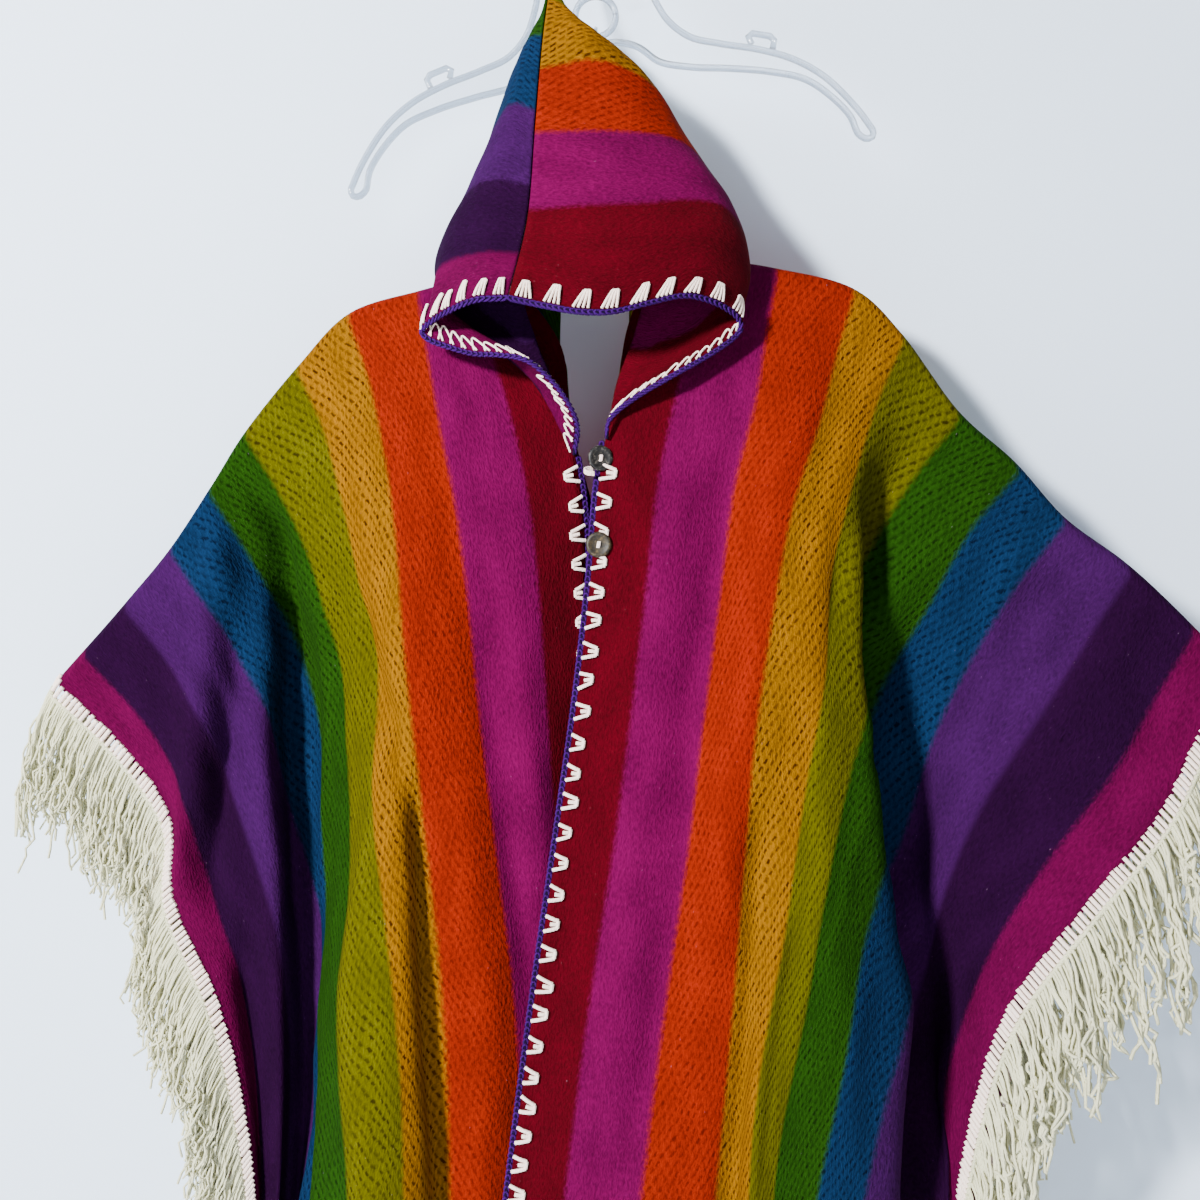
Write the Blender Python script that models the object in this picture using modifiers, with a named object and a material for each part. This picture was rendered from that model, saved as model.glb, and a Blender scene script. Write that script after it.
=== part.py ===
"""Hooded striped poncho of thick brushed wool, hung on a clear hanger.

Metres, +Z up. X runs to the wearer's left, -Y is the front. The origin is the
inside top of the hanger's hook, and everything hangs below it.

The garment is two long lengths of cloth, one over each shoulder, joined at the
centre back below a neck slit and open all down the centre front. Each length
carries a fringe on its outer edges. A pointed hood of two pieces is sewn round
the slit. A second, plain hanger inside holds the shoulders square.
"""
import math
from collections import namedtuple

import bmesh
import bpy
import numpy as np

MM = 0.001

# ---------------------------------------------------------------- cloth
CLOTH = 3.0 * MM                 # thickness of the brushed wool
SEAM_GAP = 0.3 * MM              # daylight left between two pieces at a seam
GRAIN_LENGTH = 800 * MM          # from the top of the shoulder to either hem
FOLD_RADIUS = 9 * MM             # how tightly the cloth turns over the shoulder
CENTRE_BACK = 12.5 * MM          # where the two lengths are joined behind
SLIT_BEHIND = 200 * MM           # how far the neck slit runs down the back
NECK_IN_FRONT = 150 * MM         # grain distance from shoulder to chin
NECK_BEHIND = 105 * MM           # grain distance from shoulder to the hood's back corner
FLAT_AT_SEAM = 27 * MM           # width beside the centre-back seam kept flat
MEET_BEHIND = SLIT_BEHIND / 2    # below this the lengths never cross behind
LINE_SAMPLES = 160               # straight steps that a warp thread is measured in

# Widths of the woven stripes, from the centre front outwards.
STRIPES = {
    "crimson": 45 * MM, "magenta": 60 * MM, "orange": 56 * MM, "yellow": 56 * MM,
    "lime": 58 * MM, "green": 62 * MM, "blue": 50 * MM, "violet": 62 * MM,
    "plum": 62 * MM, "raspberry": 40 * MM,
}
CLOTH_WIDTH = sum(STRIPES.values())


def far_side_of(stripe):
    """Distance from the centre-front edge to the outer side of a stripe."""
    names = list(STRIPES)
    return sum(STRIPES[name] for name in names[:names.index(stripe) + 1])


# The lines of the cloth that carry its shape: its two edges and seven stripe joins.
STATIONS = (0.0, far_side_of("magenta"), far_side_of("orange"), far_side_of("yellow"),
            far_side_of("lime"), far_side_of("green"), far_side_of("blue"),
            far_side_of("violet"), CLOTH_WIDTH)
STEPS_BETWEEN_STATIONS = (4, 2, 3, 3, 3, 3, 3, 4)

# A row per section, taken parallel to the shoulder line and `drop` below it.
# Each column is one of the nine stations, from the centre edge to the fringe.
Section = namedtuple("Section", "drop x y")
Shoulder = namedtuple("Shoulder", "x y z")

LEFT_SHOULDER = Shoulder(
    x=(-50, -130, -186, -226, -268, -297, -327, -363, -415),
    y=(-30, -30, -30, -30, -30, -30, -32, -34, -36),
    z=(-319, -335, -353, -394, -446, -492, -539, -584, -644))
LEFT_FRONT = (
    Section(50, (-40, -122, -170, -205, -242, -272, -298, -328, -374),
            (-48, -50, -52, -50, -44, -34, -42, -46, -40)),
    Section(110, (-15, -110, -154, -186, -214, -242, -266, -294, -332),
            (-58, -68, -70, -66, -44, -20, -34, -46, -38)),
    Section(180, (0, -96, -142, -172, -192, -218, -246, -272, -330),
            (-60, -76, -82, -68, -42, -10, -22, -34, -32)),
    Section(260, (4, -85, -134, -162, -185, -208, -226, -254, -296),
            (-58, -84, -96, -76, -46, -14, -6, -18, -32)),
    Section(350, (6, -75, -124, -156, -182, -206, -208, -242, -276),
            (-60, -90, -100, -94, -54, -18, -4, -12, -26)),
    Section(450, (10, -64, -112, -144, -188, -212, -212, -242, -266),
            (-58, -82, -92, -100, -70, -30, -12, -12, -24)),
    Section(560, (14, -52, -104, -136, -178, -218, -232, -248, -272),
            (-52, -68, -78, -96, -84, -46, -22, -18, -30)),
    Section(820, (22, -46, -100, -140, -184, -220, -240, -262, -290),
            (-44, -58, -60, -84, -76, -52, -34, -26, -34)))
LEFT_BACK = (
    Section(50, (-19, -125, -178, -216, -252, -281, -310, -344, -384),
            (-9, -8, -8, -8, -8, -8, -8, -9, -12)),
    Section(110, (-10, -115, -166, -202, -234, -260, -286, -318, -352),
            (2, 3, 2, 3, 4, 3, 1, 0, -4)),
    Section(200, (12.35, -104, -155, -188, -216, -240, -263, -290, -320),
            (10, 14, 10, 14, 16, 14, 10, 12, 6)),
    Section(450, (12.35, -90, -138, -171, -202, -224, -247, -270, -296),
            (18, 27, 14, 25, 34, 22, 12, 22, 14)),
    Section(820, (12.35, -86, -136, -174, -208, -234, -258, -284, -306),
            (18, 31, 12, 28, 38, 20, 12, 27, 16)))

RIGHT_SHOULDER = Shoulder(
    x=(55, 156, 218, 256, 299, 344, 377, 423, 490),
    y=(-30, -30, -30, -34, -40, -48, -56, -70, -100),
    z=(-307, -317, -333, -370, -432, -476, -517, -556, -633))
RIGHT_FRONT = (
    Section(50, (48, 147, 204, 236, 267, 308, 343, 394, 464),
            (-46, -50, -50, -56, -56, -60, -70, -84, -112)),
    Section(110, (28, 136, 186, 214, 237, 274, 306, 354, 430),
            (-62, -70, -70, -78, -66, -62, -68, -92, -120)),
    Section(180, (15, 118, 162, 194, 214, 242, 276, 316, 378),
            (-74, -82, -92, -102, -84, -42, -54, -74, -112)),
    Section(260, (8, 106, 146, 184, 203, 234, 264, 290, 330),
            (-78, -92, -106, -118, -106, -78, -34, -50, -90)),
    Section(350, (-2, 94, 132, 168, 184, 214, 248, 278, 308),
            (-82, -96, -112, -118, -122, -112, -78, -24, -68)),
    Section(450, (-16, 82, 122, 154, 168, 196, 222, 272, 294),
            (-86, -100, -112, -116, -120, -122, -106, -58, -58)),
    Section(560, (-32, 66, 114, 136, 148, 176, 204, 260, 290),
            (-88, -98, -106, -112, -114, -114, -112, -76, -60)),
    Section(820, (-66, 34, 92, 122, 150, 184, 214, 258, 294),
            (-84, -92, -88, -100, -92, -104, -88, -74, -60)))
RIGHT_BACK = (
    Section(50, (38, 149, 209, 247, 287, 328, 360, 406, 466),
            (-9, -8, -8, -11, -16, -24, -32, -44, -72)),
    Section(110, (29, 140, 196, 232, 267, 304, 335, 378, 432),
            (2, 3, 2, 3, 2, -6, -15, -26, -52)),
    Section(200, (12.65, 130, 182, 215, 246, 278, 305, 342, 388),
            (10, 14, 10, 14, 14, 6, -2, -10, -32)),
    Section(450, (12.65, 112, 162, 195, 227, 254, 280, 308, 334),
            (18, 14, 27, 34, 20, 12, 16, 12, 4)),
    Section(820, (12.65, 106, 156, 193, 230, 258, 283, 310, 330),
            (18, 12, 30, 38, 18, 12, 27, 18, 14)))

Panel = namedtuple("Panel", "name side shoulder front back")
LEFT = Panel("body_left", -1, LEFT_SHOULDER, LEFT_FRONT, LEFT_BACK)
RIGHT = Panel("body_right", 1, RIGHT_SHOULDER, RIGHT_FRONT, RIGHT_BACK)

# Grain distances from the shoulder at which the cloth is cut into rows.
FRONT_ROWS = (0, 30, 65, 105, 150, 200, 255, 315, 380, 450, 525, 605, 700, 800)
BACK_ROWS = (0, 35, 75, 120, 175, 240, 330, 440, 560, 680, 800)
FOLD_ANGLES = (-45, 0, 45)
HALF_TURN = FOLD_RADIUS * math.pi / 2

# ---------------------------------------------------------------- hood
# A row per stripe join of the hood, from the face edge to the back. The columns
# run from the top seam round the side of the head towards the neck, in mm.
HoodLine = namedtuple("HoodLine", "depth points")
HOOD_LEFT = (
    HoodLine(0.00, ((-53, -115, -357), (-84, -108, -356), (-122, -77, -372),
                    (-87, -84, -392), (-32, -96, -408))),
    HoodLine(0.25, ((-40, -98, -294), (-70, -90, -288), (-98, -70, -290),
                    (-114, -52, -326), (-80, -60, -372))),
    HoodLine(0.50, ((-35, -78, -215), (-57, -66, -206), (-76, -48, -228),
                    (-86, -34, -268), (-82, -26, -304))),
    HoodLine(0.75, ((-30, -50, -134), (-42, -42, -136), (-52, -34, -164),
                    (-56, -30, -214), (-46, -14, -284))),
    HoodLine(1.00, ((-23, -5.6, -52), (-23, -26, -108), (-16, -33, -168),
                    (-4, -34, -236), (-18, 8, -336))))
HOOD_RIGHT = (
    HoodLine(0.00, ((-53, -115, -357), (15, -120, -362), (84, -104, -346),
                    (124, -77, -372), (62, -84, -416))),
    HoodLine(0.25, ((-40, -98, -294), (34, -104, -290), (108, -84, -284),
                    (130, -56, -320), (86, -64, -378))),
    HoodLine(0.50, ((-35, -78, -215), (27, -80, -215), (80, -62, -222),
                    (108, -40, -266), (102, -30, -296))),
    HoodLine(0.75, ((-30, -50, -134), (4, -50, -130), (38, -40, -154),
                    (60, -32, -200), (60, -14, -280))),
    HoodLine(1.00, ((-23, -5.6, -52), (-20, -26, -108), (-13, -33, -168),
                    (24, -34, -236), (40, 9, -336))))
SEAM_RISE = 3 * MM               # how far the hood lifts off the shoulder
SEAM_LAP = 10 * MM               # within this distance of the neck seam
RIDGE_GAP = 1.7 * MM             # each piece stands this far from the top seam's line
BACK_SEAM_GAP = 2.0 * MM         # and from the back seam's line
HOOD_ROWS = 14                   # from the top seam to the neck
NECK_STEP = 24 * MM              # widest column of the hood at the neck
SHOULDER_REACH = 220 * MM        # how far from the fold the hood minds the cloth
SHOULDER_STEP = 3 * MM
SHOULDER_PARTS = (0, 0.25, 0.5, 0.75)
COVER_REACH = 26 * MM            # cloth nearer than this counts as lying under the hood
LAYING_ROUNDS = 3
BACK_SEAM_END = 0.43             # share of the hood's back that is sewn shut
HOOD_CLEARANCE = 4.5 * MM        # between the hood and the shoulder it lies over

# ---------------------------------------------------------------- trim
EDGING_RADIUS = 2.4 * MM
EDGING_GAP = 0.8 * MM
FRONT_EDGING_START = 4           # mm below the chin
SHARPEST_MITRE = 0.6             # cosine of half the sharpest turn that is fully mitred
BUTTON_RADIUS = 10 * MM
BUTTON_THICKNESS = 3 * MM
BUTTON_DISH = 0.8 * MM
BUTTON_SIDES = 16
# Turned profile of a button: share of its radius, share of its thickness.
BUTTON_RIM = ((0.9, 0), (1.0, 0.35), (1.0, 0.75), (0.9, 1.0), (0.7, 1.0))
BUTTONS = {"button_upper": (15 * MM, -474 * MM), "button_lower": (14 * MM, -541 * MM)}
BUTTON_LIFT = 1.2 * MM           # clear of the crocheted edge behind it

FRINGE_BAND = 15 * MM            # the ladder and braid between cloth and strands
FRINGE_PITCH = 19 * MM           # from one lock of the fringe to the next
FRINGE_INSET = 9 * MM            # bare edge left at the top of the shoulder
FRINGE_GAP = 0.8 * MM
STRAND_LENGTH = 88 * MM
STRAND_SWAYS = ((0.10, 1.7), (0.05, 0.61))  # share of the length, radians from lock to lock
# A strand's curve, in shares of its length: out from the band, and how that wanes;
# down from the band, and how that grows.
STRAND_OUT = 0.62
STRAND_WANE = 0.12
STRAND_DOWN = 0.15
STRAND_DROOP = 0.45
SHORT_END = FRINGE_INSET / 3     # bare edge left at the hem
FREE_SHARE = 0.4                 # locks that lean together end this far towards meeting
STRAND_JOINTS = (0.0, 0.5, 1.0)  # shares of a strand's length where it bends
STRAND_WIDTHS = (8.5 * MM, 4.5 * MM, 3.0 * MM)

# ---------------------------------------------------------------- hangers
PLASTIC = 7 * MM                 # thickness of the moulded hanger
HANGER_TILT = math.radians(6.5)   # leans up towards the wearer's left
WIRE_RADIUS = 2.0 * MM
HOOK_RADIUS = 17 * MM            # inside radius of the hook
PLATE_TOP = 46 * MM              # top of the moulded plate below the hook's inside top
# Half outline of the hanger below its hook: across, down, in mm.
HANGER_TOP_EDGE = ((0, 46), (24, 46), (36, 54), (46, 70), (52, 88), (62, 109), (77, 123),
                   (100, 131), (133, 140), (160, 151), (184, 168), (203, 190), (217, 212))
HANGER_END = ((221, 221), (219, 227), (212, 229), (205, 225))
HANGER_LOW_EDGE = ((198, 207), (184, 189), (166, 174), (140, 165), (105, 158), (72, 153),
                   (46, 145), (30, 131), (16, 126), (0, 126))
HANGER_EYE = 15 * MM             # radius of the eye in the middle of the plate
HANGER_EYE_DEPTH = 100 * MM      # its centre below the hook's inside top
HANGER_EYE_SIDES = 20
HOOK_SWEEP = (math.radians(55), math.radians(-205))  # from the stem over to the open end
HOOK_STEPS = 13
STEM_BENDS = (0.8, 0.10)         # how the stem's foot bend and the ring's width fade in
ARM_RADIUS = 5.5 * MM            # round arms of the inner hanger
ARM_CLEARANCE = 0.7 * MM         # between the arms and the cloth on them
ARM_REACH = far_side_of("orange") - 20 * MM  # how far along the cloth each arm holds it
INNER_HOOK_RADIUS = 17 * MM      # inside radius of the inner hanger's hook
INNER_HOOK_LIFT = 1.2 * MM       # top of its inside above the eye's lower rim
INNER_PLANE = -30 * MM           # how far in front of the outer hanger it hangs
INNER_NECK = ((-22, -314), (12, -305), (38, -307))  # across and up in mm, between its arms

COLOURS = {
    "cloth": (0.32, 0.02, 0.14), "edging": (0.08, 0.04, 0.35), "fringe": (0.78, 0.76, 0.62),
    "shell_button": (0.20, 0.17, 0.14), "clear_plastic": (0.82, 0.85, 0.88),
    "steel": (0.62, 0.62, 0.64),
}
FINISHES = {
    "cloth": (0.95, 0.0), "edging": (0.85, 0.0), "fringe": (0.9, 0.0),
    "shell_button": (0.35, 0.0), "clear_plastic": (0.12, 0.0), "steel": (0.3, 1.0),
}


# ================================================================ helpers
def clear_objects():
    """Remove every object left in the scene."""
    for thing in list(bpy.data.objects):
        bpy.data.objects.remove(thing, do_unlink=True)


def make_material(name):
    """A Principled material with the piece's own colour and finish."""
    material = bpy.data.materials.new(name)
    material.use_nodes = True
    shader = material.node_tree.nodes["Principled BSDF"]
    roughness, metallic = FINISHES[name]
    shader.inputs["Base Color"].default_value = (*COLOURS[name], 1.0)
    shader.inputs["Roughness"].default_value = roughness
    shader.inputs["Metallic"].default_value = metallic
    return material


def add_object(name, data, material, collection):
    """Link an object made from data under the given name."""
    thing = bpy.data.objects.new(name, data)
    data.materials.append(material)
    collection.objects.link(thing)
    return thing


def smooth(keys, values, at):
    """Smooth curve through table values, read at one place or several."""
    keys = np.asarray(keys, float)
    values = np.asarray(values, float)
    steps = np.diff(keys)
    rises = np.diff(values, axis=0) / steps.reshape(-1, *([1] * (values.ndim - 1)))
    tangents = np.empty_like(values)
    tangents[0], tangents[-1] = rises[0], rises[-1]
    for index in range(1, len(keys) - 1):
        before, after = steps[index - 1], steps[index]
        tangents[index] = (rises[index - 1] * after + rises[index] * before) / (before + after)
    at = np.clip(np.asarray(at, float), keys[0], keys[-1])
    index = np.clip(np.searchsorted(keys, at, side="right") - 1, 0, len(keys) - 2)
    span = steps[index]
    part = (at - keys[index]) / span
    if values.ndim > 1:
        part, span = part[..., None], span[..., None]
    return ((2 * part ** 3 - 3 * part ** 2 + 1) * values[index]
            + (part ** 3 - 2 * part ** 2 + part) * span * tangents[index]
            + (-2 * part ** 3 + 3 * part ** 2) * values[index + 1]
            + (part ** 3 - part ** 2) * span * tangents[index + 1])


def unit(vector):
    """The vector at length one."""
    return vector / np.linalg.norm(vector)


def grid_mesh(name, grid):
    """An open sheet of quads through a grid of points."""
    rows, columns = len(grid), len(grid[0])
    mesh = bpy.data.meshes.new(name)
    points = [tuple(point) for row in grid for point in row]
    faces = [(r * columns + c, r * columns + c + 1, (r + 1) * columns + c + 1,
              (r + 1) * columns + c)
             for r in range(rows - 1) for c in range(columns - 1)]
    mesh.from_pydata(points, [], faces)
    mesh.shade_smooth()
    return mesh


def give_thickness(thing, thickness):
    """Turn an open sheet into a wall, half of it on each side."""
    wall = thing.modifiers.new("cloth_wall", "SOLIDIFY")
    wall.thickness = thickness
    wall.offset = 0.0


def tube(name, points, radius, material, collection, sides_level=2):
    """A round cord through the points, closed at both ends."""
    curve = bpy.data.curves.new(name, "CURVE")
    curve.dimensions = "3D"
    spline = curve.splines.new("POLY")
    spline.points.add(len(points) - 1)
    for knot, point in zip(spline.points, points):
        knot.co = (*point, 1.0)
    curve.bevel_depth = radius
    curve.bevel_resolution = sides_level
    curve.use_fill_caps = True
    return add_object(name, curve, material, collection)


# ================================================================ cloth surface
def shoulder_point(panel, across):
    """Top of the shoulder fold at a distance across the cloth."""
    table = np.array(panel.shoulder).T * MM
    return smooth(STATIONS, table, across)


def hanging_line(panel, face, across):
    """One thread of the warp from the shoulder down, as points and their lengths."""
    top = shoulder_point(panel, across)
    sections = panel.front if face < 0 else panel.back
    drops = [FOLD_RADIUS] + [row.drop * MM for row in sections]
    flat = across
    if face > 0:
        flat = max(across, FLAT_AT_SEAM)
    xs = [top[0]] + [float(smooth(STATIONS, np.array(row.x) * MM, across)) for row in sections]
    ys = [top[1] + face * FOLD_RADIUS]
    ys += [float(smooth(STATIONS, np.array(row.y) * MM, flat)) for row in sections]
    down = np.linspace(FOLD_RADIUS, drops[-1], LINE_SAMPLES)
    reach = smooth(drops, xs, down)
    if face > 0:
        seam = CENTRE_BACK + panel.side * SEAM_GAP / 2
        crossed = panel.side * (reach - seam) < 0
        reach = np.where(crossed & (down > MEET_BEHIND), seam, reach)
    level = shoulder_point(panel, flat)[2]
    share = np.clip((down - FOLD_RADIUS) / SLIT_BEHIND, 0, 1) if face > 0 else 0.0
    height = top[2] * (1 - share) + level * share
    line = np.column_stack((reach, smooth(drops, ys, down), height - down))
    lengths = np.concatenate(([0], np.cumsum(np.linalg.norm(np.diff(line, axis=0), axis=1))))
    return line, lengths


def panel_column(panel, across):
    """Points of one warp thread from the front hem over the shoulder to the back hem."""
    column = []
    for face, rows in ((-1, FRONT_ROWS[::-1]), (1, BACK_ROWS)):
        line, lengths = hanging_line(panel, face, across)
        for distance in rows:
            column.append([np.interp(distance * MM, lengths, line[:, k]) for k in range(3)])
        if face < 0:
            top = shoulder_point(panel, across)
            for angle in np.radians(FOLD_ANGLES):
                column.append([top[0], top[1] + FOLD_RADIUS * math.sin(angle),
                               top[2] - FOLD_RADIUS * (1 - math.cos(angle))])
    return np.array(column)


def panel_positions():
    """Distances across the cloth at which it is cut into columns."""
    positions = [0.0]
    for start, end, steps in zip(STATIONS, STATIONS[1:], STEPS_BETWEEN_STATIONS):
        positions += [start + (end - start) * step / steps for step in range(1, steps + 1)]
    return positions


def panel_grid(panel):
    """Rows of points from front hem to back hem, columns from centre to fringe."""
    columns = [panel_column(panel, across) for across in panel_positions()]
    return np.array(columns).transpose(1, 0, 2)


def make_panel(panel, material, collection):
    """One length of cloth over one shoulder."""
    grid = panel_grid(panel)
    if panel.side > 0:
        grid = grid[:, ::-1]
    thing = add_object(panel.name, grid_mesh(panel.name, grid), material, collection)
    give_thickness(thing, CLOTH)


def row_places():
    """Distances along the grain of the cloth's own rows, minus in front of the shoulder."""
    front = [-row * MM - HALF_TURN for row in FRONT_ROWS[::-1]]
    fold = [math.radians(angle) * FOLD_RADIUS for angle in FOLD_ANGLES]
    return np.array(front + fold + [row * MM + HALF_TURN for row in BACK_ROWS])


def read_along(rows, values, places):
    """Values known at the rows, read in straight steps at other places."""
    return np.column_stack([np.interp(places, rows, values[:, k]) for k in range(3)])


def rim(panel, places, outer=False):
    """Places on a side edge of the cloth, the ways out of it and its outer normals."""
    grid = panel_grid(panel)
    edge, inner = (grid[:, -1], grid[:, -2]) if outer else (grid[:, 0], grid[:, 1])
    rows = row_places()
    along = np.gradient(edge, rows, axis=0)
    turn = -panel.side if outer else panel.side
    faces = [unit(np.cross(edge[k + 1] - inner[k], edge[k] - inner[k + 1])) * turn
             for k in range(len(rows) - 1)]
    normals = np.array([unit(a + b) for a, b in zip(faces[:1] + faces, faces + faces[-1:])])
    outward = np.array([unit(np.cross(n, a)) * turn for n, a in zip(normals, along)])
    normals = np.array([unit(n) for n in read_along(rows, normals, places)])
    outward = np.array([unit(o) for o in read_along(rows, outward, places)])
    return read_along(rows, edge, places), outward, normals


def laid_over(points, cloth, normals, distance):
    """Points near a cloth moved along its outer normals until they clear it."""
    flat = points.reshape(-1, 3).copy()
    for _ in range(LAYING_ROUNDS):
        apart = flat[:, None, :] - cloth[None, :, :]
        nearest = np.linalg.norm(apart, axis=2).argmin(axis=1)
        way = apart[np.arange(len(flat)), nearest]
        height = np.sum(way * normals[nearest], axis=1)
        near = np.linalg.norm(way, axis=1) < COVER_REACH
        flat += normals[nearest] * np.where(near, np.clip(distance - height, 0, None), 0)[:, None]
    return flat.reshape(points.shape)


# ================================================================ hood
def neck_places():
    """Where the hood's columns meet the neck edge: the cloth's rows and their middles."""
    first, last = -NECK_IN_FRONT - HALF_TURN, NECK_BEHIND + HALF_TURN
    rows = [place for place in row_places() if first < place < last]
    rows = [first] + rows + [last]
    places = []
    for start, end in zip(rows, rows[1:]):
        parts = math.ceil((end - start) / NECK_STEP)
        places += [start + (end - start) * k / parts for k in range(parts)]
    return np.array(places + [last])


def neck_lines(panel, places):
    """The hood's lower edge on the outside of the slit's edge, and the line above it."""
    points, outward, normals = rim(panel, places)
    seam = points + normals * (CLOTH + SEAM_GAP)
    return seam, seam + normals * SEAM_RISE - outward * SEAM_LAP


def dense_shoulder(panel):
    """Close-set points of the cloth round the neck, with its outer normals."""
    grid = panel_grid(panel)
    rows = row_places()
    places = np.arange(-SHOULDER_REACH, SHOULDER_REACH, SHOULDER_STEP)
    columns = [read_along(rows, grid[:, k], places) for k in range(grid.shape[1] // 2)]
    columns = np.array([a + (b - a) * part for a, b in zip(columns, columns[1:])
                        for part in SHOULDER_PARTS])
    normals = np.cross(np.gradient(columns, axis=0), np.gradient(columns, axis=1)) * panel.side
    normals /= np.linalg.norm(normals, axis=2)[..., None]
    return columns.reshape(-1, 3), normals.reshape(-1, 3)


def hood_grid(panel, lines):
    """Rows from the top seam to the neck, columns from the face edge to the back."""
    places = neck_places()
    seam, above = neck_lines(panel, places)
    shares = (places - places[0]) / (places[-1] - places[0])
    stations = np.array([list(line.points) for line in lines], float) * MM
    depths = [line.depth for line in lines]
    drops = np.linspace(0, 1, stations.shape[1] + 1)
    columns = []
    for share, end in zip(shares, above):
        line = np.vstack((smooth(depths, stations, np.array([share]))[0], end))
        columns.append(smooth(drops, line, np.linspace(0, 1, HOOD_ROWS)))
    grid = np.array(columns).transpose(1, 0, 2)
    grid[:-1] = laid_over(grid[:-1], *dense_shoulder(panel), CLOTH + HOOD_CLEARANCE)
    grid = np.concatenate((grid, seam[None]))
    grid[0, :, 0] += panel.side * RIDGE_GAP
    sewn = round(BACK_SEAM_END * HOOD_ROWS)
    grid[:sewn + 1, -1, 0] += panel.side * BACK_SEAM_GAP
    return grid


def make_hood(name, panel, lines, material, collection):
    """One half of the pointed hood."""
    grid = hood_grid(panel, lines)
    if panel.side < 0:
        grid = grid[:, ::-1]
    thing = add_object(name, grid_mesh(name, grid), material, collection)
    give_thickness(thing, CLOTH)


# ================================================================ trim
def mitred(points, outward, reach):
    """A line moved sideways so that its straight stretches keep their distance."""
    moved = []
    for k, (point, way) in enumerate(zip(points, outward)):
        before = unit(points[k] - points[k - 1]) if k else unit(points[1] - points[0])
        after = unit(points[k + 1] - point) if k + 1 < len(points) else before
        along = unit(before + after)
        square = unit(way - np.dot(way, along) * along)
        half_turn_cos = math.sqrt((1 + float(np.dot(before, after))) / 2)
        moved.append(point + square * reach / max(SHARPEST_MITRE, half_turn_cos))
    return np.array(moved)


def make_front_edging(name, panel, material, collection):
    """Crocheted cord along the centre-front edge of one length."""
    line, lengths = hanging_line(panel, -1, 0.0)
    inner, inner_lengths = hanging_line(panel, -1, STATIONS[1] / STEPS_BETWEEN_STATIONS[0])
    rows = [row for row in FRONT_ROWS if row * MM > NECK_IN_FRONT]
    rows = [NECK_IN_FRONT / MM + FRONT_EDGING_START] + rows
    points = np.array([[np.interp(r * MM, lengths, line[:, k]) for k in range(3)] for r in rows])
    beside = np.array([[np.interp(r * MM, inner_lengths, inner[:, k]) for k in range(3)]
                       for r in rows])
    outward = np.array([unit(p - q) for p, q in zip(points, beside)])
    centre = mitred(points, outward, EDGING_RADIUS + EDGING_GAP)
    tube(name, centre, EDGING_RADIUS, material, collection)


def make_face_edging(name, panel, lines, material, collection):
    """Crocheted cord round one half of the hood's face edge."""
    grid = hood_grid(panel, lines)
    edge, inner = grid[:-1, 0], grid[:-1, 1]
    outward = np.array([unit(p - q) for p, q in zip(edge, inner)])
    centre = mitred(edge, outward, EDGING_RADIUS + EDGING_GAP)
    tube(name, centre[:-1], EDGING_RADIUS, material, collection)


def make_button(name, material, collection):
    """Shell button, dished in front, lying on the crocheted edge."""
    across, height = BUTTONS[name]
    edge = panel_grid(RIGHT)[:len(FRONT_ROWS), 0]
    back = float(np.interp(height, edge[:, 2], edge[:, 1])) - EDGING_RADIUS - BUTTON_LIFT
    profile = [(BUTTON_RADIUS * reach, BUTTON_THICKNESS * out) for reach, out in BUTTON_RIM]
    profile = [(0, 0)] + profile + [(0, BUTTON_THICKNESS - BUTTON_DISH)]
    form = bmesh.new()
    rings = []
    for reach, out in profile:
        if reach == 0:
            rings.append([form.verts.new((across, back - out, height))])
            continue
        rings.append([form.verts.new((across + reach * math.cos(2 * math.pi * k / BUTTON_SIDES),
                                      back - out,
                                      height + reach * math.sin(2 * math.pi * k / BUTTON_SIDES)))
                      for k in range(BUTTON_SIDES)])
    for low, high in zip(rings, rings[1:]):
        for k in range(BUTTON_SIDES):
            after = (k + 1) % BUTTON_SIDES
            if len(low) == 1:
                form.faces.new((low[0], high[k], high[after]))
            elif len(high) == 1:
                form.faces.new((low[after], low[k], high[0]))
            else:
                form.faces.new((low[after], low[k], high[k], high[after]))
    bmesh.ops.recalc_face_normals(form, faces=form.faces)
    mesh = bpy.data.meshes.new(name)
    form.to_mesh(mesh)
    form.free()
    mesh.shade_smooth()
    add_object(name, mesh, material, collection)


def strand_path(root, outward, length):
    """Centre line of a strand and its headings: out from the band, then down."""
    down = np.array((0.0, 0.0, -1.0))
    shares = [joint * length / STRAND_LENGTH for joint in STRAND_JOINTS]
    places = [root + STRAND_LENGTH * (outward * (STRAND_OUT * q - STRAND_WANE * q * q)
                                      + down * (STRAND_DOWN * q + STRAND_DROOP * q * q))
              for q in shares]
    headings = [unit(outward * (STRAND_OUT - 2 * STRAND_WANE * q)
                     + down * (STRAND_DOWN + 2 * STRAND_DROOP * q)) for q in shares]
    return places, headings


def softened(vectors, reach):
    """Directions averaged with their neighbours on both sides."""
    padded = np.pad(vectors, ((reach, reach), (0, 0)), mode="edge")
    total = sum(padded[k:k + len(vectors)] for k in range(2 * reach + 1))
    return np.array([unit(vector) for vector in total])


def fringe_places(face):
    """Grain distances of the locks' sides, with every row of the cloth among them."""
    start, end = sorted((face * (HALF_TURN + FRINGE_INSET),
                         face * (HALF_TURN + GRAIN_LENGTH - SHORT_END)))
    rows = [start] + [row for row in row_places() if start < row < end] + [end]
    places = []
    for near, far in zip(rows, rows[1:]):
        parts = 2 * max(1, round((far - near) / FRINGE_PITCH))
        places += [near + (far - near) * k / parts for k in range(parts)]
    return np.array(places + [end])


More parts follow.
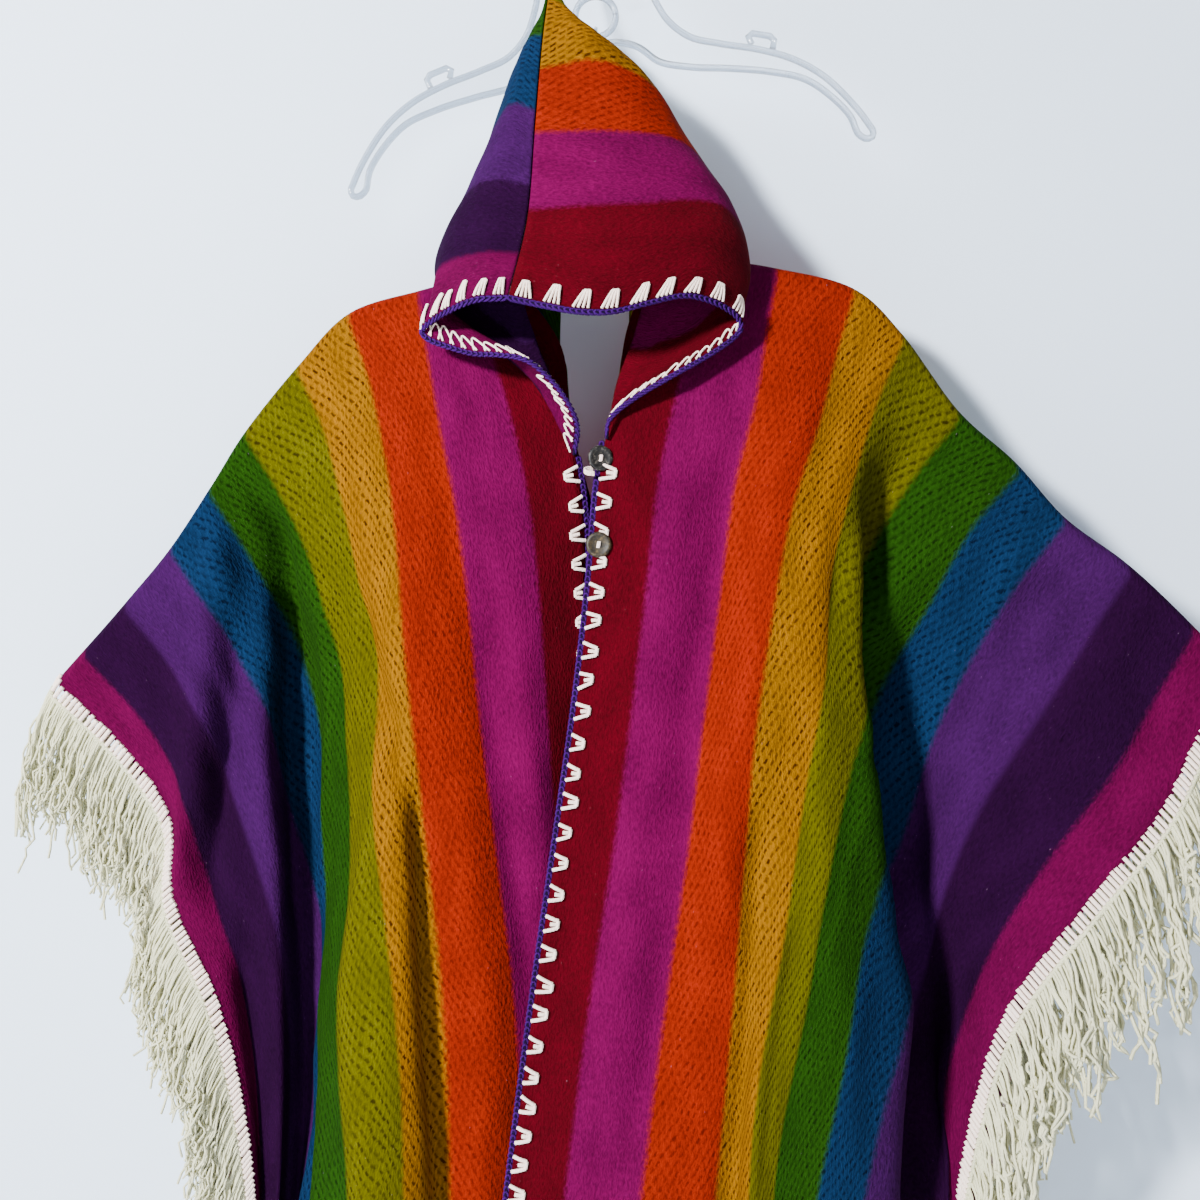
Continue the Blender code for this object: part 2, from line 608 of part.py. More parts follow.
def make_fringe(name, panel, face, material, collection):
    """Band along one side edge with its strands, all one piece."""
    places = fringe_places(face)
    count = len(places)
    points, outward, normals = rim(panel, places, outer=True)
    headings = softened(outward, 6)
    inner = points + outward * FRINGE_GAP
    outer = points + softened(outward, 1) * (FRINGE_GAP + FRINGE_BAND)
    half = CLOTH / 2
    form = bmesh.new()

    def corner_ring(centre, width, normal):
        return [form.verts.new(tuple(centre + width * i + normal * half * j))
                for i, j in ((-1, 1), (1, 1), (1, -1), (-1, -1))]

    rings = []
    for k in range(count):
        corners_here = (inner[k] + normals[k] * half, outer[k] + normals[k] * half,
                        outer[k] - normals[k] * half, inner[k] - normals[k] * half)
        rings.append([form.verts.new(tuple(corner)) for corner in corners_here])
    form.faces.new(rings[0])
    form.faces.new(rings[-1][::-1])
    for k in range(count - 1):
        a, b = rings[k], rings[k + 1]
        for i, j in ((0, 1), (2, 3), (3, 0)):
            form.faces.new((a[i], b[i], b[j], a[j]))
        below = [a[1], b[1], b[2], a[2]]
        if k % 2:
            form.faces.new(below)
            continue
        along = outer[k + 1] - outer[k]
        normal = unit(normals[k] + normals[k + 1])
        length = STRAND_LENGTH * (1 + sum(part * math.sin(k * turn)
                                          for part, turn in STRAND_SWAYS))
        ahead, behind = min(k + 3, count - 1), max(k - 2, 0)
        stretch = outer[ahead] - outer[behind]
        meeting = -np.dot(headings[ahead] - headings[behind], unit(stretch))
        if meeting > 0:
            length = min(length, FREE_SHARE * np.linalg.norm(stretch) / meeting)
        path, ways = strand_path((outer[k] + outer[k + 1]) / 2, headings[k], length)
        for place, way, width in list(zip(path, ways, STRAND_WIDTHS))[1:]:
            sideways = unit(np.cross(normal, way))
            sideways *= math.copysign(width / 2, float(np.dot(sideways, along)))
            above = corner_ring(place, sideways, normal)
            for i in range(4):
                j = (i + 1) % 4
                form.faces.new((below[i], below[j], above[j], above[i]))
            below = above
        form.faces.new(below)
    bmesh.ops.recalc_face_normals(form, faces=form.faces)
    mesh = bpy.data.meshes.new(name)
    form.to_mesh(mesh)
    form.free()
    add_object(name, mesh, material, collection)


# ================================================================ hangers
def turned(across, down):
    """A place on the leaning hanger, given across and down from its hook."""
    lean_cos, lean_sin = math.cos(HANGER_TILT), math.sin(HANGER_TILT)
    return (across * lean_cos + down * lean_sin, 0.0, across * lean_sin - down * lean_cos)


def make_hanger_body(material, collection):
    """Moulded plate and arms of the outer hanger, with the eye in its middle."""
    half = HANGER_TOP_EDGE + HANGER_END + HANGER_LOW_EDGE
    outline = [(x * MM, y * MM) for x, y in half]
    outline += [(-x * MM, y * MM) for x, y in half[::-1] if x > 0]
    eye = [(HANGER_EYE * math.cos(2 * math.pi * k / HANGER_EYE_SIDES),
            HANGER_EYE_DEPTH + HANGER_EYE * math.sin(2 * math.pi * k / HANGER_EYE_SIDES))
           for k in range(HANGER_EYE_SIDES)]
    curve = bpy.data.curves.new("hanger_body", "CURVE")
    curve.dimensions = "2D"
    curve.fill_mode = "BOTH"
    curve.extrude = PLASTIC / 2
    for loop in (outline, eye):
        spline = curve.splines.new("POLY")
        spline.points.add(len(loop) - 1)
        spline.use_cyclic_u = True
        for knot, (across, down) in zip(spline.points, loop):
            knot.co = (across, -down, 0.0, 1.0)
    thing = add_object("hanger_body", curve, material, collection)
    thing.rotation_euler = (math.radians(90), -HANGER_TILT, 0.0)


def hook_points(radius, stem_foot, plane, stem_bend=0.0):
    """Question-mark hook: a stem, then round over the top to an open end.

    The inside of its top is at zero. plane turns a place across and down into a
    point in space, and the stem's foot may stand to one side by stem_bend.
    """
    wire = radius + WIRE_RADIUS
    ring_foot = radius + wire
    foot_share, ring_share = STEM_BENDS
    points = [plane(stem_bend, stem_foot),
              plane(stem_bend * foot_share, (stem_foot * 3 + ring_foot) / 4),
              plane(radius * ring_share, (stem_foot + ring_foot) / 2)]
    start, end = HOOK_SWEEP
    for step in range(HOOK_STEPS + 1):
        angle = start + (end - start) * step / HOOK_STEPS
        points.append(plane(wire * math.cos(angle), radius + wire * math.sin(angle)))
    return points


def make_hanger_hook(material, collection):
    """Steel hook of the outer hanger; the inside of its top is the origin."""
    points = hook_points(HOOK_RADIUS, PLATE_TOP - SEAM_GAP, turned)
    tube("hanger_hook", points, WIRE_RADIUS, material, collection)


def make_inner_hanger(steel, plastic, collection):
    """Plain round hanger inside the shoulders and the hook that carries it."""
    drop = CLOTH / 2 + ARM_CLEARANCE + ARM_RADIUS
    arms = []
    for panel in (LEFT, RIGHT):
        positions = panel_positions()
        tops = np.array([shoulder_point(panel, across) for across in positions])
        held = [across for across in positions if across < ARM_REACH] + [ARM_REACH]
        arms.append(list(read_along(positions, tops, held) - np.array((0, 0, drop))))
    neck = [np.array((x * MM, INNER_PLANE, z * MM)) for x, z in INNER_NECK]
    tube("inner_hanger", arms[0][::-1] + neck + arms[1], ARM_RADIUS, plastic, collection)
    top = np.array(turned(0.0, HANGER_EYE_DEPTH)) + (0.0, 0.0, INNER_HOOK_LIFT - HANGER_EYE)
    foot = top[2] - (neck[1][2] + ARM_RADIUS + SEAM_GAP)

    def across_the_hanger(out, down):
        return top[0], out, top[2] - down

    points = hook_points(INNER_HOOK_RADIUS, foot, across_the_hanger, INNER_PLANE)
    tube("inner_hook", points, WIRE_RADIUS, steel, collection)


# ================================================================ main
def build():
    """Make every piece of the poncho and what holds it up."""
    clear_objects()
    collection = bpy.data.collections.new("poncho")
    bpy.context.scene.collection.children.link(collection)
    materials = {name: make_material(name) for name in COLOURS}
    cloth, edging, fringe = materials["cloth"], materials["edging"], materials["fringe"]
    for panel in (LEFT, RIGHT):
        make_panel(panel, cloth, collection)
    make_hood("hood_left", LEFT, HOOD_LEFT, cloth, collection)
    make_hood("hood_right", RIGHT, HOOD_RIGHT, cloth, collection)
    make_front_edging("edging_front_left", LEFT, edging, collection)
    make_front_edging("edging_front_right", RIGHT, edging, collection)
    make_face_edging("edging_face_left", LEFT, HOOD_LEFT, edging, collection)
    make_face_edging("edging_face_right", RIGHT, HOOD_RIGHT, edging, collection)
    for name in BUTTONS:
        make_button(name, materials["shell_button"], collection)
    make_fringe("fringe_front_left", LEFT, -1, fringe, collection)
    make_fringe("fringe_back_left", LEFT, 1, fringe, collection)
    make_fringe("fringe_front_right", RIGHT, -1, fringe, collection)
    make_fringe("fringe_back_right", RIGHT, 1, fringe, collection)
    make_hanger_body(materials["clear_plastic"], collection)
    make_hanger_hook(materials["steel"], collection)
    make_inner_hanger(materials["steel"], materials["clear_plastic"], collection)


build()
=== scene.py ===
"""Visual model of a hooded striped poncho on a clear hanger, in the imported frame's space.

The cloth is built again as thin shells on the same named sections as the solids, with
finer rows, small creases and woven stripes. Stitches, crochet and yarn are tubes made
by one Geometry Nodes tree. Everything rides on the frame's only body.
"""

import logging
import math
from dataclasses import astuple, dataclass, replace
from enum import Enum
from functools import partialmethod
from typing import Callable, Iterable, Sequence

import bmesh
import bpy
import numpy as np
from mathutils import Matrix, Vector

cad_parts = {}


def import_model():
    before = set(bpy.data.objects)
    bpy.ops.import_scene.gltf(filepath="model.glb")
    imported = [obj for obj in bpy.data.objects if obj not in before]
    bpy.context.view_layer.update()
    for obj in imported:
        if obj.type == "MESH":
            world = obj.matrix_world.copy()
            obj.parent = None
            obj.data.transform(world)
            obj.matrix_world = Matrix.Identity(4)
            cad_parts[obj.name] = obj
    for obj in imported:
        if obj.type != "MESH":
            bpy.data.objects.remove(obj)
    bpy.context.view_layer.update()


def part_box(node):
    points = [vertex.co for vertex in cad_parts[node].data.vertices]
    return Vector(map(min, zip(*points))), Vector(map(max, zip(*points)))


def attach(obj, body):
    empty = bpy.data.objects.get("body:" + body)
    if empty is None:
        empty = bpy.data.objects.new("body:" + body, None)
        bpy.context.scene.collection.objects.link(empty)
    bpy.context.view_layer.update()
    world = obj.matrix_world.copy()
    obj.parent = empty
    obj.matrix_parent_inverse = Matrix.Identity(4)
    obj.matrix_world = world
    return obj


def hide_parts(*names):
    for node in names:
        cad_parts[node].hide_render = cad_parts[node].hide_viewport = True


LOG = logging.getLogger("poncho")
MM = 0.001
BODY = "root"
Colour = tuple[float, float, float, float]
Place = np.ndarray | float
Socket = bpy.types.NodeSocket

# ---------------------------------------------------------------- sizes shared with the solids
CLOTH = 3.0 * MM
SEAM_GAP = 0.3 * MM
GRAIN_LENGTH = 800 * MM
FOLD_RADIUS = 9 * MM
HALF_TURN = FOLD_RADIUS * math.pi / 2
CENTRE_BACK = 12.5 * MM
SLIT_BEHIND = 200 * MM
NECK_IN_FRONT = 150 * MM
NECK_BEHIND = 105 * MM
FLAT_AT_SEAM = 27 * MM
STRIPE_WIDTHS = (45, 60, 56, 56, 58, 62, 50, 62, 62, 40)
STRIPE_NAMES = ("crimson", "magenta", "orange", "yellow", "lime", "green", "blue",
                "violet", "plum", "raspberry")
CLOTH_WIDTH = sum(STRIPE_WIDTHS) * MM
STATIONS = tuple(v * MM for v in (0, 105, 161, 217, 275, 337, 387, 449, 551))
STEPS_BETWEEN_STATIONS = (4, 2, 3, 3, 3, 3, 3, 4)
FRONT_ROWS = (0, 30, 65, 105, 150, 200, 255, 315, 380, 450, 525, 605, 700, 800)
BACK_ROWS = (0, 35, 75, 120, 175, 240, 330, 440, 560, 680, 800)
FOLD_ANGLES = (-45, 0, 45)


@dataclass(frozen=True)
class Section:
    """Places across the cloth at one drop below the shoulder, in mm, one per station."""

    drop: float
    x: tuple[float, ...]
    y: tuple[float, ...]


@dataclass(frozen=True)
class Shoulder:
    """The line along the top of one shoulder, in mm, one value per station."""

    x: tuple[float, ...]
    y: tuple[float, ...]
    z: tuple[float, ...]


@dataclass(frozen=True)
class Crease:
    """A soft trough or ridge on the cloth.

    path holds (across, along) in mm, minus along in front; depth is minus for a trough.
    """

    path: tuple[tuple[float, float], ...]
    width: float
    depth: float


@dataclass(frozen=True)
class HoodLine:
    """One line round the hood, in mm, from the top seam towards the neck."""

    depth: float
    points: tuple[tuple[float, float, float], ...]


@dataclass(frozen=True)
class Panel:
    """One length of cloth over one shoulder."""

    name: str
    side: int
    shoulder: Shoulder
    front: tuple[Section, ...]
    back: tuple[Section, ...]
    creases: tuple[Crease, ...]


LEFT_FRONT = (
    Section(50, (-40, -122, -170, -205, -242, -272, -298, -328, -374),
            (-48, -50, -52, -50, -44, -34, -42, -46, -40)),
    Section(110, (-15, -110, -154, -186, -214, -242, -266, -294, -332),
            (-58, -68, -70, -66, -44, -20, -34, -46, -38)),
    Section(180, (0, -96, -142, -172, -192, -218, -246, -272, -330),
            (-60, -76, -82, -68, -42, -10, -22, -34, -32)),
    Section(260, (4, -85, -134, -162, -185, -208, -226, -254, -296),
            (-58, -84, -96, -76, -46, -14, -6, -18, -32)),
    Section(350, (6, -75, -124, -156, -182, -206, -208, -242, -276),
            (-60, -90, -100, -94, -54, -18, -4, -12, -26)),
    Section(450, (10, -64, -112, -144, -188, -212, -212, -242, -266),
            (-58, -82, -92, -100, -70, -30, -12, -12, -24)),
    Section(560, (14, -52, -104, -136, -178, -218, -232, -248, -272),
            (-52, -68, -78, -96, -84, -46, -22, -18, -30)),
    Section(820, (22, -46, -100, -140, -184, -220, -240, -262, -290),
            (-44, -58, -60, -84, -76, -52, -34, -26, -34)))
LEFT_BACK = (
    Section(50, (-19, -125, -178, -216, -252, -281, -310, -344, -384),
            (-9, -8, -8, -8, -8, -8, -8, -9, -12)),
    Section(110, (-10, -115, -166, -202, -234, -260, -286, -318, -352),
            (2, 3, 2, 3, 4, 3, 1, 0, -4)),
    Section(200, (12.35, -104, -155, -188, -216, -240, -263, -290, -320),
            (10, 14, 10, 14, 16, 14, 10, 12, 6)),
    Section(450, (12.35, -90, -138, -171, -202, -224, -247, -270, -296),
            (18, 27, 14, 25, 34, 22, 12, 22, 14)),
    Section(820, (12.35, -86, -136, -174, -208, -234, -258, -284, -306),
            (18, 31, 12, 28, 38, 20, 12, 27, 16)))
LEFT = Panel(
    "body_left", -1,
    Shoulder(x=(-50, -130, -186, -226, -268, -297, -327, -363, -415),
             y=(-30, -30, -30, -30, -30, -30, -32, -34, -36),
             z=(-319, -335, -353, -394, -446, -492, -539, -584, -644)),
    LEFT_FRONT, LEFT_BACK,
    (Crease(((300, -82), (321, -119), (338, -149), (358, -179), (383, -246), (411, -306),
             (426, -380), (430, -520), (424, -700)), 13, -9.5),
     Crease(((352, -95), (402, -170), (450, -300), (468, -400), (474, -540), (470, -760)),
            20, 8.5),
     Crease(((508, -330), (516, -460), (512, -600), (518, -780)), 15, -6.0),
     Crease(((286, -170), (308, -230), (338, -300), (361, -360), (366, -470)), 17, 3.5),
     Crease(((356, -37), (381, -66), (416, -89), (451, -119), (496, -149), (531, -171),
             (546, -194)), 14, 5.0),
     Crease(((345, -78), (376, -112), (412, -138), (455, -175), (505, -225)), 15, -5.5),
     Crease(((345, -520), (350, -620), (340, -780)), 15, -5.0),
     Crease(((222, -236), (206, -291), (182, -336)), 14, -5.0),
     Crease(((168, -420), (175, -508), (176, -590), (170, -709), (174, -800)), 12, -7.0),
     Crease(((128, -430), (132, -620), (140, -790)), 17, 3.0),
     Crease(((60, -250), (66, -420), (58, -640)), 26, 3.0),
     Crease(((92, -330), (88, -520), (98, -780)), 20, -3.5),
     Crease(((250, -420), (262, -560), (246, -760)), 18, 3.5),
     Crease(((70, 160), (84, 420), (76, 760)), 26, 3.5),
     Crease(((180, 120), (170, 380), (186, 700)), 24, -4.0),
     Crease(((320, 100), (330, 420), (318, 770)), 24, 3.5),
     Crease(((440, 60), (452, 380), (446, 720)), 22, -3.0)))

RIGHT_FRONT = (
    Section(50, (48, 147, 204, 236, 267, 308, 343, 394, 464),
            (-46, -50, -50, -56, -56, -60, -70, -84, -112)),
    Section(110, (28, 136, 186, 214, 237, 274, 306, 354, 430),
            (-62, -70, -70, -78, -66, -62, -68, -92, -120)),
    Section(180, (15, 118, 162, 194, 214, 242, 276, 316, 378),
            (-74, -82, -92, -102, -84, -42, -54, -74, -112)),
    Section(260, (8, 106, 146, 184, 203, 234, 264, 290, 330),
            (-78, -92, -106, -118, -106, -78, -34, -50, -90)),
    Section(350, (-2, 94, 132, 168, 184, 214, 248, 278, 308),
            (-82, -96, -112, -118, -122, -112, -78, -24, -68)),
    Section(450, (-16, 82, 122, 154, 168, 196, 222, 272, 294),
            (-86, -100, -112, -116, -120, -122, -106, -58, -58)),
    Section(560, (-32, 66, 114, 136, 148, 176, 204, 260, 290),
            (-88, -98, -106, -112, -114, -114, -112, -76, -60)),
    Section(820, (-66, 34, 92, 122, 150, 184, 214, 258, 294),
            (-84, -92, -88, -100, -92, -104, -88, -74, -60)))
RIGHT_BACK = (
    Section(50, (38, 149, 209, 247, 287, 328, 360, 406, 466),
            (-9, -8, -8, -11, -16, -24, -32, -44, -72)),
    Section(110, (29, 140, 196, 232, 267, 304, 335, 378, 432),
            (2, 3, 2, 3, 2, -6, -15, -26, -52)),
    Section(200, (12.65, 130, 182, 215, 246, 278, 305, 342, 388),
            (10, 14, 10, 14, 14, 6, -2, -10, -32)),
    Section(450, (12.65, 112, 162, 195, 227, 254, 280, 308, 334),
            (18, 14, 27, 34, 20, 12, 16, 12, 4)),
    Section(820, (12.65, 106, 156, 193, 230, 258, 283, 310, 330),
            (18, 12, 30, 38, 18, 12, 27, 18, 14)))
RIGHT = Panel(
    "body_right", 1,
    Shoulder(x=(55, 156, 218, 256, 299, 344, 377, 423, 490),
             y=(-30, -30, -30, -34, -40, -48, -56, -70, -100),
             z=(-307, -317, -333, -370, -432, -476, -517, -556, -633)),
    RIGHT_FRONT, RIGHT_BACK,
    (Crease(((268, -130), (284, -200), (316, -242), (346, -293), (386, -350), (424, -412),
             (446, -500), (456, -640), (460, -790)), 19, -12.0),
     Crease(((240, -180), (268, -250), (306, -318), (346, -372), (390, -430), (410, -560),
             (418, -790)), 17, 5.5),
     Crease(((60, -260), (70, -430), (64, -640)), 24, 2.5),
     Crease(((100, -220), (92, -400), (104, -620)), 22, -3.5),
     Crease(((140, -120), (150, -280), (142, -480)), 24, 3.0),
     Crease(((172, -460), (180, -620), (176, -790)), 16, -4.0),
     Crease(((215, -520), (222, -650), (214, -790)), 15, 3.0),
     Crease(((255, -90), (236, -160), (222, -260)), 20, -3.5),
     Crease(((330, -60), (312, -130), (300, -210)), 24, 3.0),
     Crease(((410, -50), (392, -140), (378, -260)), 22, -3.5),
     Crease(((470, -60), (452, -160), (438, -300)), 20, 3.0),
     Crease(((520, -90), (508, -190), (496, -330)), 18, -2.5),
     Crease(((430, -420), (442, -580), (436, -780)), 18, -4.0),
     Crease(((500, -430), (494, -600), (504, -780)), 16, 3.0),
     Crease(((80, 170), (70, 430), (84, 760)), 26, -3.5),
     Crease(((190, 110), (202, 400), (190, 700)), 24, 3.5),
     Crease(((310, 100), (298, 400), (312, 760)), 24, -4.0),
     Crease(((450, 60), (440, 360), (452, 720)), 22, 3.5)))

HOOD_LEFT = (
    HoodLine(0.00, ((-53, -115, -357), (-84, -108, -356), (-122, -77, -372),
                    (-87, -84, -392), (-32, -96, -408))),
    HoodLine(0.25, ((-40, -98, -294), (-70, -90, -288), (-98, -70, -290),
                    (-114, -52, -326), (-80, -60, -372))),
    HoodLine(0.50, ((-35, -78, -215), (-57, -66, -206), (-76, -48, -228),
                    (-86, -34, -268), (-82, -26, -304))),
    HoodLine(0.75, ((-30, -50, -134), (-42, -42, -136), (-52, -34, -164),
                    (-56, -30, -214), (-46, -14, -284))),
    HoodLine(1.00, ((-23, -5.6, -52), (-23, -26, -108), (-16, -33, -168),
                    (-4, -34, -236), (-18, 8, -336))))
HOOD_RIGHT = (
    HoodLine(0.00, ((-53, -115, -357), (15, -120, -362), (84, -104, -346),
                    (124, -77, -372), (62, -84, -416))),
    HoodLine(0.25, ((-40, -98, -294), (34, -104, -290), (108, -84, -284),
                    (130, -56, -320), (86, -64, -378))),
    HoodLine(0.50, ((-35, -78, -215), (27, -80, -215), (80, -62, -222),
                    (108, -40, -266), (102, -30, -296))),
    HoodLine(0.75, ((-30, -50, -134), (4, -50, -130), (38, -40, -154),
                    (60, -32, -200), (60, -14, -280))),
    HoodLine(1.00, ((-23, -5.6, -52), (-20, -26, -108), (-13, -33, -168),
                    (24, -34, -236), (40, 9, -336))))
CHIN_PULL = ((13, 2, 0), (-14, 4, 0))  # mm that each half's edge closes above the chin
CHIN_REACH = 0.3                 # share of the hood's depth that the pull fades over
BROW_DROP = (3 * MM, 8 * MM)     # how far each half's edge sags over the brow
SEAM_RISE = 3 * MM
SEAM_LAP = 10 * MM
RIDGE_HALF_GAP = 0.51 * MM
BACK_SEAM_HALF_GAP = 1.0 * MM
HOOD_ROWS = 14
BACK_SEAM_END = 0.43
HOOD_CLEARANCE = 4.5 * MM
NECK_STEP = 24 * MM
SHOULDER_REACH = 220 * MM
SHOULDER_STEP = 3 * MM
COVER_REACH = 26 * MM
HOOD_DEPTH = 0.32                # metres of cloth from the hood's face edge to its peak

STRAND_LENGTH = 88 * MM
FRINGE_FLOOR = -1485 * MM        # no strand hangs lower

HANGER_TILT = math.radians(6.5)
WIRE_RADIUS = 2.0 * MM
HOOK_RADIUS = 17 * MM
PLATE_TOP = 46 * MM
HANGER_TOP_EDGE = ((0, 46), (24, 46), (36, 54), (46, 70), (52, 88), (62, 109), (77, 123),
                   (100, 131), (133, 140), (160, 151), (184, 168), (203, 190), (217, 212))
HANGER_END = ((221, 221), (219, 227), (212, 229), (205, 225))
HANGER_LOW_EDGE = ((198, 207), (184, 189), (166, 174), (140, 165), (105, 158), (72, 153),
                   (46, 145), (30, 131), (16, 126), (0, 126))
HANGER_EYE = 15 * MM
HANGER_EYE_DEPTH = 100 * MM
ARM_RADIUS = 5.5 * MM
ARM_CLEARANCE = 0.7 * MM
ARM_REACH = (161 - 20) * MM
INNER_HOOK_LIFT = 1.2 * MM
INNER_PLANE = -30 * MM
INNER_NECK = ((-22, -314), (12, -305), (38, -307))

# ---------------------------------------------------------------- sizes of the finer work
SHELL = 2.4 * MM                 # thickness of the cloth that shows
ACROSS_STEP = 5.0 * MM
ALONG_STEP = 7.5 * MM
EDGE_CALM = 26 * MM              # creases fade out this near an edge
TOP_CALM = (12, 40)              # mm from the shoulder where creases start, and their rise
CREASE_DRAWN_OUT = 0.45          # how much a crease's ends are drawn out along the grain
SLOW_RIPPLE = 1.9 * MM           # how far the whole cloth wanders
CREASE_GAIN = 1.9                # how much deeper creases are than a light press gives
FAN_TOP = -461.8 * MM            # height of the uppermost pair of fan stitches in front
FAN_PITCH = 23 * MM
BUTTON_RADIUS = 10 * MM
BUTTON_THICKNESS = 3 * MM


class Side(Enum):
    """Which face of the garment a run of fringe or trim is on."""

    FRONT = -1
    BACK = 1


# ================================================================ small maths
def smooth(keys: Sequence[float], values: np.ndarray, at: np.ndarray) -> np.ndarray:
    """Smooth curve through table values.

    Args:
        keys: Increasing places at which the values are known.
        values: One value, or one row of values, per key.
        at: Places to read.

    Returns:
        The values at those places.
    """
    keys = np.asarray(keys, float)
    values = np.asarray(values, float)
    steps = np.diff(keys)
    rises = np.diff(values, axis=0) / steps.reshape(-1, *([1] * (values.ndim - 1)))
    tangents = np.empty_like(values)
    tangents[0], tangents[-1] = rises[0], rises[-1]
    for index in range(1, len(keys) - 1):
        before, after = steps[index - 1], steps[index]
        tangents[index] = (rises[index - 1] * after + rises[index] * before) / (before + after)
    at = np.clip(np.asarray(at, float), keys[0], keys[-1])
    index = np.clip(np.searchsorted(keys, at, side="right") - 1, 0, len(keys) - 2)
    span = steps[index]
    part = (at - keys[index]) / span
    if values.ndim > 1:
        part = part.reshape(part.shape + (1,) * (values.ndim - 1))
        span = span.reshape(part.shape)
    return ((2 * part ** 3 - 3 * part ** 2 + 1) * values[index]
            + (part ** 3 - 2 * part ** 2 + part) * span * tangents[index]
            + (-2 * part ** 3 + 3 * part ** 2) * values[index + 1]
            + (part ** 3 - part ** 2) * span * tangents[index + 1])


def unit(vectors: np.ndarray) -> np.ndarray:
    """Vectors at length one, along the last axis."""
    return vectors / np.maximum(np.linalg.norm(vectors, axis=-1, keepdims=True), 1e-12)


def read_along(keys: np.ndarray, values: np.ndarray, places: np.ndarray) -> np.ndarray:
    """Points known at the keys, read in straight steps at other places."""
    return np.column_stack([np.interp(places, keys, values[:, k]) for k in range(3)])


def softened(vectors: np.ndarray, reach: int) -> np.ndarray:
    """Directions averaged with their neighbours on both sides."""
    padded = np.pad(vectors, ((reach, reach), (0, 0)), mode="edge")
    return unit(sum(padded[k:k + len(vectors)] for k in range(2 * reach + 1)))


def srgb(red: float, green: float, blue: float) -> Colour:
    """A linear colour from screen values between 0 and 255."""
    shares = (value / 255.0 for value in (red, green, blue))
    return (*(v / 12.92 if v <= 0.04045 else ((v + 0.055) / 1.055) ** 2.4 for v in shares), 1.0)


def linked(name: str, data: bpy.types.ID, *materials: bpy.types.Material) -> bpy.types.Object:
    """An object of the scene that shows some data, once its materials are added."""
    for material in materials:
        data.materials.append(material)
    thing = bpy.data.objects.new(name, data)
    bpy.context.scene.collection.objects.link(thing)
    return thing


def baked(carrier: bpy.types.Object, name: str) -> bpy.types.Mesh:
    """The plain mesh that an object evaluates to; the object itself goes."""
    bpy.context.view_layer.update()
    graph = bpy.context.evaluated_depsgraph_get()
    mesh = bpy.data.meshes.new_from_object(carrier.evaluated_get(graph))
    mesh.name = name
    bpy.data.objects.remove(carrier, do_unlink=True)
    return mesh


def turn_out(mesh: bpy.types.Mesh, merge: float = 0.0) -> None:
    """Join points closer than merge and turn the faces outwards."""
    work = bmesh.new()
    work.from_mesh(mesh)
    if merge:
        bmesh.ops.remove_doubles(work, verts=work.verts, dist=merge)
    bmesh.ops.recalc_face_normals(work, faces=work.faces)
    work.to_mesh(mesh)
    work.free()


# ================================================================ the cloth's form
def shoulder_points(panel: Panel, across: np.ndarray) -> np.ndarray:
    """Tops of the shoulder fold at distances across the cloth."""
    table = np.array((panel.shoulder.x, panel.shoulder.y, panel.shoulder.z), float).T * MM
    return smooth(STATIONS, table, np.asarray(across, float))


def hanging_line(panel: Panel, face: int, across: float) -> tuple[np.ndarray, np.ndarray]:
    """One warp thread from the shoulder down.

    Args:
        panel: The length of cloth.
        face: Minus for the front, plus for the back.
        across: Its distance from the centre edge, in metres.

    Returns:
        Close points on it, and the length of thread above each.
    """
    top = shoulder_points(panel, across)
    sections = panel.front if face < 0 else panel.back
    drops = [FOLD_RADIUS] + [row.drop * MM for row in sections]
    flat = max(across, FLAT_AT_SEAM) if face > 0 else across
    xs = [top[0]] + [float(smooth(STATIONS, np.array(row.x) * MM, across)) for row in sections]
    ys = [top[1] + face * FOLD_RADIUS]
    ys += [float(smooth(STATIONS, np.array(row.y) * MM, flat)) for row in sections]
    down = np.linspace(FOLD_RADIUS, drops[-1], 160)
    reach = smooth(drops, xs, down)
    if face > 0:
        seam = CENTRE_BACK + panel.side * SEAM_GAP / 2
        crossed = panel.side * (reach - seam) < 0
        reach = np.where(crossed & (down > SLIT_BEHIND / 2), seam, reach)
    level = shoulder_points(panel, flat)[2]
    share = np.clip((down - FOLD_RADIUS) / SLIT_BEHIND, 0, 1) if face > 0 else 0.0
    height = top[2] * (1 - share) + level * share
    line = np.column_stack((reach, smooth(drops, ys, down), height - down))
    lengths = np.concatenate(([0], np.cumsum(np.linalg.norm(np.diff(line, axis=0), axis=1))))
    return line, lengths


def cloth_points(panel: Panel, across: Sequence[float], front: Sequence[float],
                 angles: Sequence[float], back: Sequence[float]) -> tuple[np.ndarray, np.ndarray]:
    """Points of one length of cloth.

    Args:
        panel: The length of cloth.
        across: Distances from the centre edge, in metres.
        front: Distances from the shoulder down the front, in metres, from nought up.
        angles: Angles round the shoulder fold, in degrees.
        back: Distances down the back.

    Returns:
        Points by row and column, and the grain distance of each row.
    """
    columns = []
    for place in across:
        column = []
        top = shoulder_points(panel, place)
        for face, rows in ((-1, front[::-1]), (1, back)):
            line, lengths = hanging_line(panel, face, float(place))
            column.append(read_along(lengths, line, np.array(rows)))
            if face < 0:
                turn = np.radians(angles)
                column.append(np.column_stack((np.full(len(turn), top[0]),
                                               top[1] + FOLD_RADIUS * np.sin(turn),
                                               top[2] - FOLD_RADIUS * (1 - np.cos(turn)))))
        columns.append(np.concatenate(column))
    rows = np.concatenate((-np.array(front[::-1]) - HALF_TURN,
                           np.radians(angles) * FOLD_RADIUS, np.array(back) + HALF_TURN))
    return np.array(columns).transpose(1, 0, 2), rows


